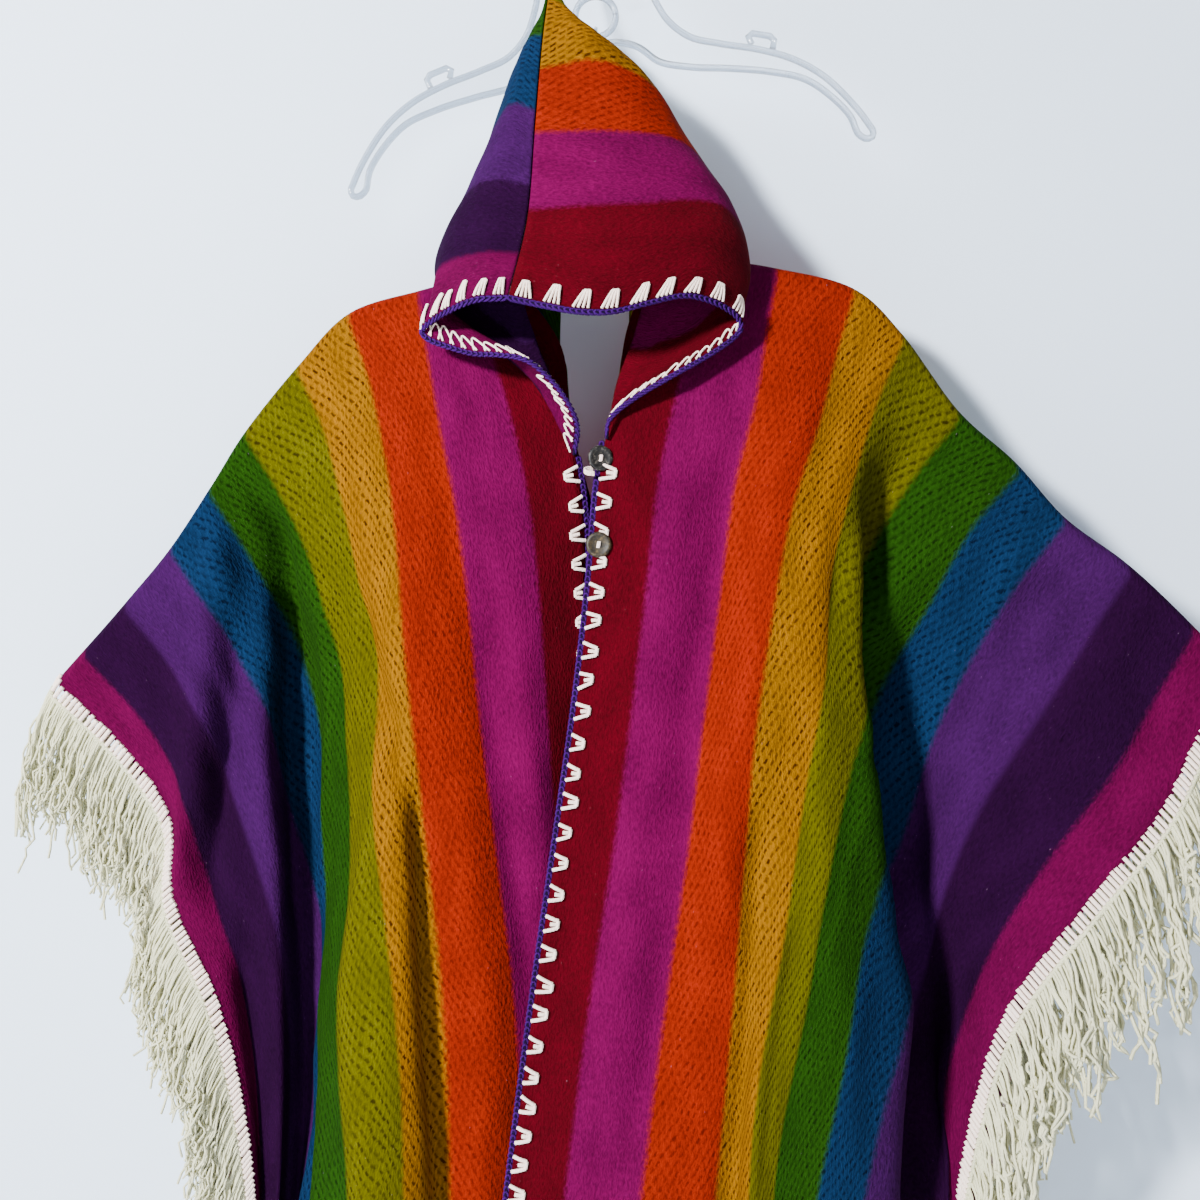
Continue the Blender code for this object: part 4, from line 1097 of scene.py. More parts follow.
class TubeTree(NodeBuilder):
    """A Geometry Nodes tree that turns lines of edges into round, waving tubes."""

    SOCKETS = (("Radius", "Float"), ("Sides", "Int"), ("Wave", "Float"), ("Wave Scale", "Float"),
               ("Frizz", "Float"), ("Stray", "Float"), ("Seed", "Int"), ("Material", "Material"))
    FINER = 2.6                      # how much finer the frizz is than the wave

    def __init__(self) -> None:
        """Build the tree once."""
        self.tree = bpy.data.node_groups.new("tubes_on_lines", "GeometryNodeTree")
        face = self.tree.interface
        face.new_socket("Geometry", in_out="INPUT", socket_type="NodeSocketGeometry")
        self.keys = {name: face.new_socket(name, in_out="INPUT",
                                           socket_type="NodeSocket" + kind).identifier
                     for name, kind in self.SOCKETS}
        face.new_socket("Geometry", in_out="OUTPUT", socket_type="NodeSocketGeometry")
        given = self.node("NodeGroupInput").outputs
        lines = self.out("GeometryNodeMeshToCurve", {0: given["Geometry"]})
        share = self.node("GeometryNodeSplineParameter").outputs["Factor"]
        fine = self.out("ShaderNodeMath", {0: given["Wave Scale"], 1: self.FINER},
                        operation="MULTIPLY")
        strand = self.node("GeometryNodeCurveOfPoint").outputs["Curve Index"]
        own = self.out("ShaderNodeMath", {0: strand, 1: given["Stray"], 2: given["Seed"]},
                       operation="MULTIPLY_ADD")
        offset = self.out("ShaderNodeVectorMath", {
            0: self._wander(given["Wave Scale"], given["Wave"], share, own),
            1: self._wander(fine, given["Frizz"], share, own)}, operation="ADD")
        waved = self.out("GeometryNodeSetPosition", {0: lines, "Offset": offset})
        ring = self.out("GeometryNodeCurvePrimitiveCircle", {
            "Resolution": given["Sides"], "Radius": given["Radius"]}, mode="RADIUS")
        tubes = self.out("GeometryNodeCurveToMesh", {"Curve": waved, "Profile Curve": ring,
                                                     "Fill Caps": True})
        real = self.out("GeometryNodeRealizeInstances", {0: tubes})
        self.node("NodeGroupOutput", {0: self.out("GeometryNodeSetMaterial", {
            "Geometry": real, "Material": given["Material"]})})

    def _wander(self, scale: Socket, amount: Socket, share: Socket, seed: Socket) -> Socket:
        """An offset that grows along a line from nought at its root.

        Args:
            scale: Scale of the noise.
            amount: How far it reaches at the tip.
            share: Place along the line.
            seed: A number of the strand's own.

        Returns:
            The offset.
        """
        noise = self.node("ShaderNodeTexNoise", {"Scale": scale, "W": seed, "Detail": 0.0},
                          noise_dimensions="4D").outputs["Color"]
        centred = self.out("ShaderNodeVectorMath", {0: noise, 1: (0.5, 0.5, 0.5)},
                           operation="SUBTRACT")
        reach = self.out("ShaderNodeMath", {0: share, 1: amount}, operation="MULTIPLY")
        return self.out("ShaderNodeVectorMath", {0: centred, "Scale": reach}, operation="SCALE")

    def bake(self, name: str, lines: Iterable[np.ndarray], cord: Cord,
             material: bpy.types.Material) -> bpy.types.Object:
        """Turn lines into one plain mesh of tubes.

        Args:
            name: Name of the piece.
            lines: Points of each line.
            cord: Thickness and wave.
            material: Its material.

        Returns:
            The finished object, with no modifier on it.
        """
        points, edges = [], []
        for line in lines:
            start = len(points)
            points += np.asarray(line).tolist()
            edges += [(k, k + 1) for k in range(start, len(points) - 1)]
        source = bpy.data.meshes.new(name + "_lines")
        source.from_pydata(points, edges, [])
        carrier = linked(name + "_lines", source)
        tool = carrier.modifiers.new("tubes", "NODES")
        tool.node_group = self.tree
        for (key, _), value in zip(self.SOCKETS, (*astuple(cord), material)):
            tool[self.keys[key]] = value
        mesh = baked(carrier, name)
        mesh.shade_smooth()
        LOG.info("%s: %d faces", name, len(mesh.polygons))
        return linked(name, mesh)


# ================================================================ trims
CHAIN_PITCH = 4.4 * MM
CHAIN_LOOP = 3.4 * MM            # half the length of one loop of the chain
CHAIN_OUT, CHAIN_WIDTH, CHAIN_RISE = 2.3 * MM, 1.7 * MM, 1.5 * MM


STITCH_SHIFT = 0.5 * MM          # how unevenly stitches are set along an edge
LOOP_POINTS = 9


def edge_lines(surface: Surface, start: float, end: float, lift: float,
               reach: float) -> np.ndarray:
    """A line beside the centre edge of a cloth, reach out of it and lifted off it."""
    along = np.linspace(start, end, max(3, int(abs(end - start) / (4 * MM))))
    points, ways, normals = surface.rim(along, outer=False)
    return points + softened(ways, 2) * reach + normals * lift


def crochet(surface: Surface, start: float, end: float) -> list[np.ndarray]:
    """Chain of crocheted loops along the centre edge.

    Args:
        surface: The cloth.
        start: Grain distance of its first loop.
        end: Grain distance of its last.

    Returns:
        One closed line per loop.
    """
    lines = []
    turn = np.linspace(0, 2 * math.pi, LOOP_POINTS)
    out = CHAIN_OUT + CHAIN_WIDTH * np.sin(turn) * (1 + 0.2 * np.cos(turn))
    for index in range(int(abs(end - start) / CHAIN_PITCH)):
        middle = start + math.copysign(CHAIN_PITCH, end - start) * (index + 0.5)
        points, ways, normals = surface.rim(middle + CHAIN_LOOP * np.cos(turn), outer=False)
        lines.append(points + ways * out[:, None]
                     + normals * (CHAIN_RISE * np.cos(turn))[:, None])
    return lines


@dataclass(frozen=True)
class Fan:
    """A white fan stitch: legs that run from the edge in to a narrow top."""

    height: float
    base: float
    top: float
    legs: int
    pitch: float
    solid: bool = False              # inner legs only fill the top
    uneven: float = 0.07             # spread of the heights
    skew: float = 0.8 * MM           # spread of how far a top lies to one side
    fill_from: float = 0.42          # where a solid stitch's inner legs start

    def places(self, start: float, end: float) -> np.ndarray:
        """Even places for the stitches between two grain distances."""
        count = max(1, round(abs(end - start) / self.pitch))
        return start + (end - start) * (np.arange(count) + 0.5) / count


def fans(surface: Surface, places: Sequence[float], fan: Fan, lift: float,
         rng: np.random.Generator) -> list[np.ndarray]:
    """Fan stitches along a centre edge.

    Args:
        surface: The cloth.
        places: Grain distance of each stitch.
        fan: The form that they all share.
        lift: How far off the middle of the cloth they lie; minus for its inner side.
        rng: Where their small unevenness comes from.

    Returns:
        The legs and the top of every stitch, as lines.
    """
    lines = []
    for place in places:
        middle = place + rng.normal(0, STITCH_SHIFT)
        height = fan.height * (1 + rng.normal(0, fan.uneven))
        skew = rng.normal(0, fan.skew)
        for leg in np.linspace(-1, 1, fan.legs):
            inner = fan.solid and abs(leg) < 1
            share = np.linspace(fan.fill_from if inner else 0, 1, 6)
            along = middle + skew * share + leg * (fan.base * (1 - share)
                                                   + fan.top * share) / 2
            across = share * (height + (0 if fan.solid else rng.normal(0, STITCH_SHIFT)))
            rise = lift + np.sin(share * math.pi) * 0.8 * MM * math.copysign(1, lift)
            lines.append(surface.at(across, along, rise))
        along = middle + skew + np.linspace(-1, 1, 4) * fan.top / 2
        lines.append(surface.at(height, along, lift * 1.1))
    return lines


@dataclass(frozen=True)
class Loops:
    """The reverse of the fan stitches: uneven overlapping loops along an edge."""

    height: float                    # how far in from the edge a loop reaches
    pitch: float                     # from one loop to the next
    foot: float = 0.8 * MM           # how far in from the edge it starts
    uneven: float = 0.14             # spread of the heights
    fullness: float = 0.9            # less is a squarer loop
    overlap: float = 1.3             # width of a loop against the pitch

    def lines(self, surface: Surface, start: float, end: float, lift: float,
              rng: np.random.Generator) -> list[np.ndarray]:
        """One line per loop.

        Args:
            surface: The cloth.
            start: Grain distance of the first loop.
            end: Grain distance of the last.
            lift: How far off the middle of the cloth they lie; minus for its inner side.
            rng: Where their small unevenness comes from.

        Returns:
            The lines, in order.
        """
        lines = []
        count = int(abs(end - start) / self.pitch)
        share = np.linspace(0, 1, LOOP_POINTS)
        for index in range(count):
            first, last = (start + (end - start) * (index + k) / count for k in (0, 1))
            top = self.height * (1 + rng.normal(0, self.uneven))
            across = self.foot + top * np.sin(share * math.pi) ** self.fullness
            along = (first + (last - first) * (0.5 + self.overlap * (share - 0.5))
                     + rng.normal(0, STITCH_SHIFT))
            lines.append(surface.at(across, along, lift))
        return lines


@dataclass(frozen=True)
class FringeStyle:
    """How one run of fringe hangs."""

    strands: int
    joints: int
    length: float
    spread: float        # how uneven the lengths are
    radius: float
    wave: float
    frizz: float
    clump: float         # how far strands gather into locks, from nought to one
    pitch: float         # from one lock to the next
    looped: float        # share of strands that turn back up at the tip
    stray: float
    out: float           # how far a strand stands off the edge before it falls
    fall: float


class FringeMaker:
    """Ladder seam, braid and yarn along one outer edge of one length of cloth."""

    DOWN = np.array((0.0, 0.0, -1.0))
    BAR_PITCHES = (4.3, 5.4)         # mm between bars of the ladder, and now and then
    BRAID_OUT = 9.8 * MM
    BRAID_RADIUS = 1.3 * MM
    BRAID_STEP = 2.2 * MM
    PLIES, PLY_PITCH = 3, 7 * MM
    ROOT_OUT = 10.5 * MM             # where the strands leave the braid
    ROOT_LAYER = 1.8                 # mm that a strand may leave it off its middle
    EDGE_POINTS = 400
    LOOP_REACH = (5.0, 10.0)         # mm that a looped strand's returning part lies beside it

    def __init__(self, surface: Surface, face: Side) -> None:
        """Read the edge closely enough to set single stitches on it.

        Args:
            surface: The cloth.
            face: Front or back of the garment.
        """
        near = face.value * HALF_TURN * (0.3 if face is Side.FRONT else 1.1)
        far = face.value * (HALF_TURN + GRAIN_LENGTH - 3 * MM)
        self.points, ways, self.normals = surface.rim(
            np.linspace(near, far, self.EDGE_POINTS), outer=True)
        self.near_ways = softened(ways, 4)
        self.ways = softened(ways, 30)
        self.length = abs(far - near)

    def _at(self, share: np.ndarray, values: np.ndarray) -> np.ndarray:
        """Values of the edge at shares of its length."""
        return read_along(np.linspace(0, 1, len(self.points)), values, share)

    def _spot(self, share: float, ways: np.ndarray) -> tuple[np.ndarray, np.ndarray, np.ndarray]:
        """The edge, the way out of it and its outer normal at one share of its length."""
        here = np.array([share])
        return (self._at(here, self.points)[0], unit(self._at(here, ways)[0]),
                unit(self._at(here, self.normals)[0]))

    def ladder(self, rng: np.random.Generator) -> list[np.ndarray]:
        """Short white bars that bind the braid to the cloth's edge.

        Args:
            rng: Where their unevenness comes from.

        Returns:
            One line per bar.
        """
        lines = []
        share = 2 * MM / self.length
        while share < 1:
            root, way, normal = self._spot(share, self.near_ways)
            inner = root - way * (2.6 + rng.normal(0, 0.4)) * MM + normal * 2.0 * MM
            over = root + way * 1.5 * MM + normal * 1.8 * MM
            outer = root + way * 8.2 * MM + normal * (0.9 + rng.normal(0, 0.2)) * MM
            lines.append(np.array((inner, over, outer)))
            step = self.BAR_PITCHES[0 if rng.random() < 0.8 else 1]
            share += (step + rng.normal(0, 0.25)) * MM / self.length
        return lines

    def braid(self) -> list[np.ndarray]:
        """Twisted plies that run along the foot of the ladder."""
        lines = []
        share = np.linspace(0, 1, int(self.length / self.BRAID_STEP))
        root, way = self._at(share, self.points), unit(self._at(share, self.near_ways))
        normal = unit(self._at(share, self.normals))
        for ply in range(self.PLIES):
            turn = (share * self.length / self.PLY_PITCH * 2 * math.pi
                    + ply * 2 * math.pi / self.PLIES)
            lines.append(root + way * (self.BRAID_OUT + self.BRAID_RADIUS * np.cos(turn))[:, None]
                         + normal * (self.BRAID_RADIUS * np.sin(turn))[:, None])
        return lines

    def yarns(self, style: FringeStyle, rng: np.random.Generator) -> list[np.ndarray]:
        """Loose strands that leave the braid, gather into locks and fall.

        Args:
            style: How they hang.
            rng: Where their unevenness comes from.

        Returns:
            One line per strand.
        """
        count = style.strands
        shares = np.clip((np.arange(count) + rng.uniform(-0.45, 0.45, count)) / count,
                         0.001, 0.999)
        locks = np.arange(0.5, self.length / style.pitch + 1) * style.pitch
        locks = locks + rng.normal(0, 0.22, len(locks)) * style.pitch
        reaches = 1 + rng.normal(0, style.spread * 0.8, len(locks))
        lines = []
        for share in shares:
            place = share * self.length
            lock = int(np.abs(locks - place).argmin())
            lines.append(self._strand(share, locks[lock] - place, reaches[lock], style, rng))
        return lines

    def _strand(self, share: float, pull: float, reach: float, style: FringeStyle,
                rng: np.random.Generator) -> np.ndarray:
        """One strand.

        Args:
            share: Where it leaves the braid.
            pull: How far along the edge its lock lies.
            reach: How long its lock is, against the style's length.
            style: How it hangs.
            rng: Where its unevenness comes from.

        Returns:
            Its points from root to tip.
        """
        root, way, normal = self._spot(share, self.ways)
        behind, ahead = self._at(np.clip((share - 0.004, share + 0.004), 0, 1), self.points)
        edge = unit(ahead - behind)
        pull = pull * style.clump + rng.normal(0, 1.6) * MM
        layer = rng.uniform(-1, 1)
        start = root + self._spot(share, self.near_ways)[1] * self.ROOT_OUT
        start = start + normal * layer * self.ROOT_LAYER * MM
        q = np.linspace(0, reach * (1 + rng.normal(0, style.spread)), style.joints)[:, None]
        path = start + style.length * (way * (style.out * q - 0.12 * q ** 2)
                                       + self.DOWN * (0.15 * q + style.fall * q ** 2)
                                       + normal * layer * 0.06 * q)
        path = path + edge * pull * q ** 1.3
        if rng.random() < style.looped:
            across = edge * rng.choice((-1, 1)) * rng.uniform(*self.LOOP_REACH) * MM
            back = path[style.joints // 2:-1][::-1] + across * 0.9
            path = np.vstack((path, path[-1] + across * 0.45 + self.DOWN * 3.5 * MM, back))
        lowest = path[:, 2].min()
        if lowest < FRINGE_FLOOR:
            share = (start[2] - FRINGE_FLOOR) / (start[2] - lowest)
            path[:, 2] = start[2] + (path[:, 2] - start[2]) * share
        return path


# ================================================================ hangers and buttons
def turned(across: float, down: float) -> np.ndarray:
    """A place on the leaning hanger, given across and down from its hook."""
    lean_cos, lean_sin = math.cos(HANGER_TILT), math.sin(HANGER_TILT)
    return np.array((across * lean_cos + down * lean_sin, 0.0,
                     across * lean_sin - down * lean_cos))


def rounded(points: Sequence[Sequence[float]], parts: int) -> np.ndarray:
    """A smooth line through points."""
    points = np.asarray(points, float)
    keys = np.concatenate(([0], np.cumsum(np.linalg.norm(np.diff(points, axis=0), axis=1))))
    return smooth(keys, points, np.linspace(0, keys[-1], parts))


def hook_points(radius: float, stem_foot: float, plane: Callable[[float, float], np.ndarray],
                stem_bend: float = 0.0) -> np.ndarray:
    """Question-mark hook whose inside top is at zero.

    Args:
        radius: Inside radius of the hook.
        stem_foot: How far down its stem ends.
        plane: Gives a point for a distance across and one down.
        stem_bend: How far across the stem's foot lies.

    Returns:
        A smooth line along the middle of the wire.
    """
    wire = radius + WIRE_RADIUS
    ring_foot = radius + wire
    points = [plane(stem_bend, stem_foot), plane(stem_bend * 0.8, (stem_foot * 3 + ring_foot) / 4)]
    points.append(plane(0.10 * radius, (stem_foot + ring_foot) / 2))
    for angle in np.radians(np.linspace(55, -205, 14)):
        points.append(plane(wire * math.cos(angle), radius + wire * math.sin(angle)))
    return rounded(points, 70)


class HangerMaker:
    """The clear hanger as a thin web with round rims."""

    WEB = 2.2 * MM
    RIM = 2.8 * MM
    EYE_RIM = 1.8 * MM               # how far outside the eye's edge its rim lies
    OUTLINE_POINTS = 120
    NOTCH = ((126, 137), (124, 131), (128, 128.5), (142, 132.5), (145, 136.5), (143, 143))

    def __init__(self) -> None:
        """Work out the outline in the hanger's own plane."""
        half = [(x, y) for x, y in HANGER_TOP_EDGE + HANGER_END + HANGER_LOW_EDGE]
        right = rounded(half, self.OUTLINE_POINTS)
        left = right[::-1][1:-1] * (-1, 1)
        self.outline = np.vstack((right, left)) * MM

    def inset(self, distance: float) -> np.ndarray:
        """The outline moved inwards."""
        before, after = np.roll(self.outline, 1, axis=0), np.roll(self.outline, -1, axis=0)
        along = unit(after - before)
        return self.outline + np.column_stack((-along[:, 1], along[:, 0])) * distance

    def web(self, material: bpy.types.Material) -> bpy.types.Object:
        """The flat sheet inside the rims, with the eye cut out.

        Args:
            material: Its material.

        Returns:
            The finished object.
        """
        curve = bpy.data.curves.new("hanger_web", "CURVE")
        curve.dimensions = "2D"
        curve.fill_mode = "BOTH"
        curve.extrude = self.WEB / 2
        turn = np.linspace(0, 2 * math.pi, 41)[:-1]
        eye = np.column_stack((HANGER_EYE * np.cos(turn),
                               HANGER_EYE_DEPTH + HANGER_EYE * np.sin(turn)))
        for loop in (self.inset(self.RIM * 0.8), eye):
            spline = curve.splines.new("POLY")
            spline.points.add(len(loop) - 1)
            spline.use_cyclic_u = True
            for knot, (across, down) in zip(spline.points, loop):
                knot.co = (across, -down, 0.0, 1.0)
        mesh = baked(linked("hanger_web_curve", curve), "hanger_web")
        for vertex in mesh.vertices:
            across, down, out = vertex.co.x, -vertex.co.y, vertex.co.z
            place = turned(across, down)
            vertex.co = (place[0], -out, place[2])
        turn_out(mesh, merge=1e-6)
        mesh.materials.clear()
        return linked("hanger_web", mesh, material)

    def rims(self) -> list[np.ndarray]:
        """Closed lines for the outer rim, the eye's rim and the two strap notches."""
        loop = self.inset(self.RIM)
        outer = np.array([turned(a, d) for a, d in np.vstack((loop, loop[:2]))])
        turn = np.linspace(0, 2 * math.pi, 42)
        radius = HANGER_EYE + self.EYE_RIM
        eye = np.array([turned(radius * math.cos(a), HANGER_EYE_DEPTH + radius * math.sin(a))
                        for a in turn])
        return [outer, eye] + [self._notch(side) for side in (-1, 1)]

    def _notch(self, side: int) -> np.ndarray:
        """A small hooked strap notch standing on top of one arm."""
        return np.array([turned(side * across * MM, down * MM) for across, down in self.NOTCH])


class ButtonMaker:
    """Dished shell buttons with their sewing thread."""

    SIDES = 40
    THREADS = (-0.7, 0.0, 0.7)       # mm across the middle
    LOOP_THREADS = (0.0, 1.2, 2.4)   # mm that each hangs below the first
    PROFILE = ((0.86, 0.0), (0.97, 0.12), (1.0, 0.4), (0.98, 0.7), (0.90, 0.95),
               (0.80, 1.0), (0.70, 0.93), (0.62, 0.80), (0.30, 0.76))

    def __init__(self, name: str, tilt: float) -> None:
        """Read where the solid button is.

        Args:
            name: Its node, which the finished button replaces.
            tilt: How far it leans to the left, in degrees.
        """
        low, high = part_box(name)
        self.name = name
        self.centre = np.array(((low[0] + high[0]) / 2, high[1], (low[2] + high[2]) / 2))
        self.tilt = math.radians(tilt)

    def place(self, across: float, out: float, up: float) -> np.ndarray:
        """A point of the button, leaning with it."""
        x = across * math.cos(self.tilt) + out * math.sin(self.tilt)
        y = -out * math.cos(self.tilt) + across * math.sin(self.tilt)
        return self.centre + np.array((x, y, up))

    def disc(self, material: bpy.types.Material) -> bpy.types.Object:
        """The turned disc.

        Args:
            material: Its material.

        Returns:
            The finished object.
        """
        sides = self.SIDES
        angles = [2 * math.pi * k / sides for k in range(sides)]
        points = [self.place(BUTTON_RADIUS * reach * math.cos(angle), BUTTON_THICKNESS * out,
                             BUTTON_RADIUS * reach * math.sin(angle))
                  for reach, out in self.PROFILE for angle in angles]
        rings = len(self.PROFILE)
        faces = [(a + k, a + (k + 1) % sides, a + sides + (k + 1) % sides, a + sides + k)
                 for a in range(0, (rings - 1) * sides, sides) for k in range(sides)]
        faces.append(tuple(range(sides))[::-1])
        faces.append(tuple(range((rings - 1) * sides, rings * sides)))
        mesh = bpy.data.meshes.new(self.name + "_disc")
        mesh.from_pydata([tuple(p) for p in points], [], faces)
        turn_out(mesh)
        mesh.shade_smooth()
        return linked(self.name + "_disc", mesh, material)

    def threads(self, loop: bool) -> list[np.ndarray]:
        """Thread over the middle, and for a loose button the loop that holds it.

        Args:
            loop: Whether the loop is there.

        Returns:
            One line per thread.
        """
        lines = [np.array([self.place(shift * MM + t * 0.4 * MM,
                                      BUTTON_THICKNESS * 0.80 + (1 - t * t) * 0.9 * MM,
                                      t * 2.2 * MM) for t in np.linspace(-1, 1, 7)])
                 for shift in self.THREADS]
        if loop:
            lines += [np.array([self.place((-6 - 7 * math.sin(a)) * MM,
                                           (2.0 - 2.6 * math.cos(a)) * MM,
                                           (-9 - shift + 2.2 * math.cos(a)) * MM)
                                for a in np.linspace(0, math.pi, 9)])
                      for shift in self.LOOP_THREADS]
        return lines


# ================================================================ the garment
CHAIN_CORD, SHADE_CORE_CORD = Cord(0.95 * MM, 5), Cord(1.25 * MM, 5)
SHADE_CORE_OUT = 2.2 * MM              # how far outside the cloth's edge the chain's dark core lies; the core is painted shade between the loops
FRONT_FAN_CORD, FRONT_LOOP_CORD = Cord(1.55 * MM, 6), Cord(0.7 * MM, 4)
FACE_FAN_CORD, FACE_LOOP_CORD = Cord(1.1 * MM, 5), Cord(0.85 * MM, 5)
LADDER_CORD, BRAID_CORD = Cord(1.75 * MM, 6), Cord(1.25 * MM, 5)
THREAD_CORD = Cord(0.75 * MM, 5)
FRONT_LOOPS = Loops(11 * MM, 9 * MM)
FACE_LOOPS, ROLLED_LOOPS = Loops(14.5 * MM, 10 * MM), Loops(10 * MM, 8 * MM)
FRONT_FAN = Fan(11 * MM, 12 * MM, 5.5 * MM, 3, FAN_PITCH, solid=True)
LEFT_FAN = Fan(15.5 * MM, 6.5 * MM, 3 * MM, 3, 14.5 * MM)
RIGHT_FAN = Fan(15.5 * MM, 11 * MM, 4.5 * MM, 4, 21 * MM)
BROW_SHARE = 0.6                 # share of the face edge that has fan stitches
ROLL_SHARE = 0.74                # where the left edge starts to show its other side
EVEN_FRINGE = FringeStyle(strands=900, joints=20, length=STRAND_LENGTH * 0.92, spread=0.09,
                          radius=1.0 * MM, wave=26 * MM, frizz=15 * MM, clump=0.3,
                          pitch=17 * MM, looped=0.08, stray=0.22, out=0.5, fall=0.5)
YARN_WAVE_SCALE = 42.0           # of the noise that bends the strands; more is tighter
FRINGES = {
    "front": EVEN_FRINGE, "back": replace(EVEN_FRINGE, strands=500),
    "front_right": FringeStyle(strands=310, joints=26, length=STRAND_LENGTH, spread=0.14,
                               radius=1.45 * MM, wave=36 * MM, frizz=16 * MM, clump=0.95,
                               pitch=23 * MM, looped=0.5, stray=0.4, out=0.42, fall=0.62)}
HOOD_STRIPES = {                 # where each stripe ends, as a share of the half's depth
    "left": ((0.135, "raspberry"), (0.335, "plum"), (0.53, "violet"), (0.74, "blue"),
             (1.0, "green")),
    "right": ((0.27, "crimson"), (0.47, "magenta"), (0.645, "orange"), (0.86, "yellow"),
              (1.0, "lime"))}


class Poncho:
    """Everything that is dressed on the frame."""

    SEED = 7

    def __init__(self) -> None:
        """Make the materials and the surfaces that the pieces share."""
        self.tubes = TubeTree()
        self.rng = np.random.default_rng(self.SEED)
        self.wool = body_wool()
        self.hood_wools = {side: hood_wool("hood_wool_" + side, stripes)
                           for side, stripes in HOOD_STRIPES.items()}
        self.purple = Yarn("purple_crochet", srgb(54, 8, 88), 0.6).build()
        # Near-black purple for the chain's core: painted shade between the crochet loops.
        self.painted_shade_core = Yarn("purple_painted_shade_core", srgb(16, 3, 34), 0.6).build()
        self.white = Yarn("white_thread", srgb(250, 228, 216), 0.18).build()
        self.cream = Yarn("cream_yarn", srgb(212, 210, 176), 0.26).build()
        self.shells = {
            "button_upper": Shell("grey_shell", (srgb(3, 3, 3), srgb(12, 11, 10), srgb(32, 30, 27),
                                                 srgb(96, 92, 84))).build(),
            "button_lower": Shell("brown_shell", (srgb(12, 8, 3), srgb(30, 22, 8),
                                                  srgb(45, 35, 15), srgb(80, 66, 40))).build()}
        self.web = Clear("clear_sheet", (0.74, 0.78, 0.82, 1.0), 0.30).build()
        self.clear = Clear("clear_rim", (0.34, 0.38, 0.43, 1.0), 0.80).build()
        self.steel = Steel().build()
        self.lengths = {"left": panel_surface(LEFT), "right": panel_surface(RIGHT)}
        self.hoods = {"left": HoodForm(LEFT, HOOD_LEFT).surface(),
                      "right": HoodForm(RIGHT, HOOD_RIGHT).surface()}

    def settle(self, thing: bpy.types.Object, slot: str, *nodes: str) -> bpy.types.Object:
        """Let a piece ride on the body and stand for its solids."""
        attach(thing, BODY)
        if nodes:
            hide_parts(*nodes)
        return thing

    def tube(self, name: str, lines: Iterable[np.ndarray], cord: Cord,
             material: bpy.types.Material, slot: str, *nodes: str) -> bpy.types.Object:
        """Bake lines into one piece of tubes and settle it."""
        return self.settle(self.tubes.bake(name, lines, cord, material), slot, *nodes)

    def bodies(self) -> None:
        """The two long lengths with everything sewn to them."""
        for side, surface in self.lengths.items():
            cloth = self.settle(surface.shell("cloth_" + side, SHELL, self.wool), "cloth",
                                "body_" + side)
            on_it = self.front_trim(surface, side) + self.fringes(surface, side)

    def edging(self, surface: Surface, place: str, start: float,
               end: float) -> list[bpy.types.Object]:
        """The crocheted chain on one edge and its near-black core, which is painted shade between
        the loops.
        """
        return [self.tube("crochet_" + place, crochet(surface, start, end), CHAIN_CORD,
                          self.purple, "edging", "edging_" + place),
                # The dark core tube stands for the shade between the chain's loops: painted shade.
                self.tube("crochet_core_" + place,
                          [edge_lines(surface, start, end, 0, SHADE_CORE_OUT)], SHADE_CORE_CORD,
                          self.painted_shade_core, "edging")]

    def front_trim(self, surface: Surface, side: str) -> list[bpy.types.Object]:
        """Crochet, fan stitches and their reverse down one centre front.

        Args:
            surface: The length of cloth.
            side: "left" or "right".

        Returns:
            The pieces made.
        """
        start = -(NECK_IN_FRONT + HALF_TURN + 4 * MM)
        end = -(GRAIN_LENGTH + HALF_TURN - 2 * MM)
        made = self.edging(surface, "front_" + side, start, end)
        along = np.linspace(end, start, 400)
        heights = surface.rim(along, outer=False)[0][:, 2]
        first = FAN_TOP - (FAN_PITCH if side == "right" else 0)
        levels = np.arange(first, heights[0], -FAN_PITCH)
        places = np.interp(levels[levels < heights[-1]], heights, along)
        stitches = self.tube("fans_front_" + side,
                             fans(surface, places, FRONT_FAN, SHELL / 2 + 1.2 * MM, self.rng),
                             FRONT_FAN_CORD, self.white, "fringe")
        lines = FRONT_LOOPS.lines(surface, start, end, -SHELL / 2 - 0.7 * MM, self.rng)
        reverse = self.tube("reverse_front_" + side, lines, FRONT_LOOP_CORD, self.white,
                            "fringe")
        return made + [stitches, reverse]

    def fringes(self, surface: Surface, side: str) -> list[bpy.types.Object]:
        """Ladder seam, braid and yarn on the front and back outer edges.

        Args:
            surface: The length of cloth.
            side: "left" or "right".

        Returns:
            The pieces made.
        """
        made = []
        for face in Side:
            maker = FringeMaker(surface, face)
            name = f"{face.name.lower()}_{side}"
            style = FRINGES.get(name, FRINGES[face.name.lower()])
            cord = Cord(style.radius, 4, style.wave, YARN_WAVE_SCALE, style.frizz,
                        style.stray)
            made += [self.tube("yarn_" + name, maker.yarns(style, self.rng), cord, self.cream,
                               "fringe", "fringe_" + name),
                     self.tube("ladder_" + name, maker.ladder(self.rng), LADDER_CORD,
                               self.white, "fringe"),
                     self.tube("braid_" + name, maker.braid(), BRAID_CORD, self.cream,
                               "fringe")]
        return made

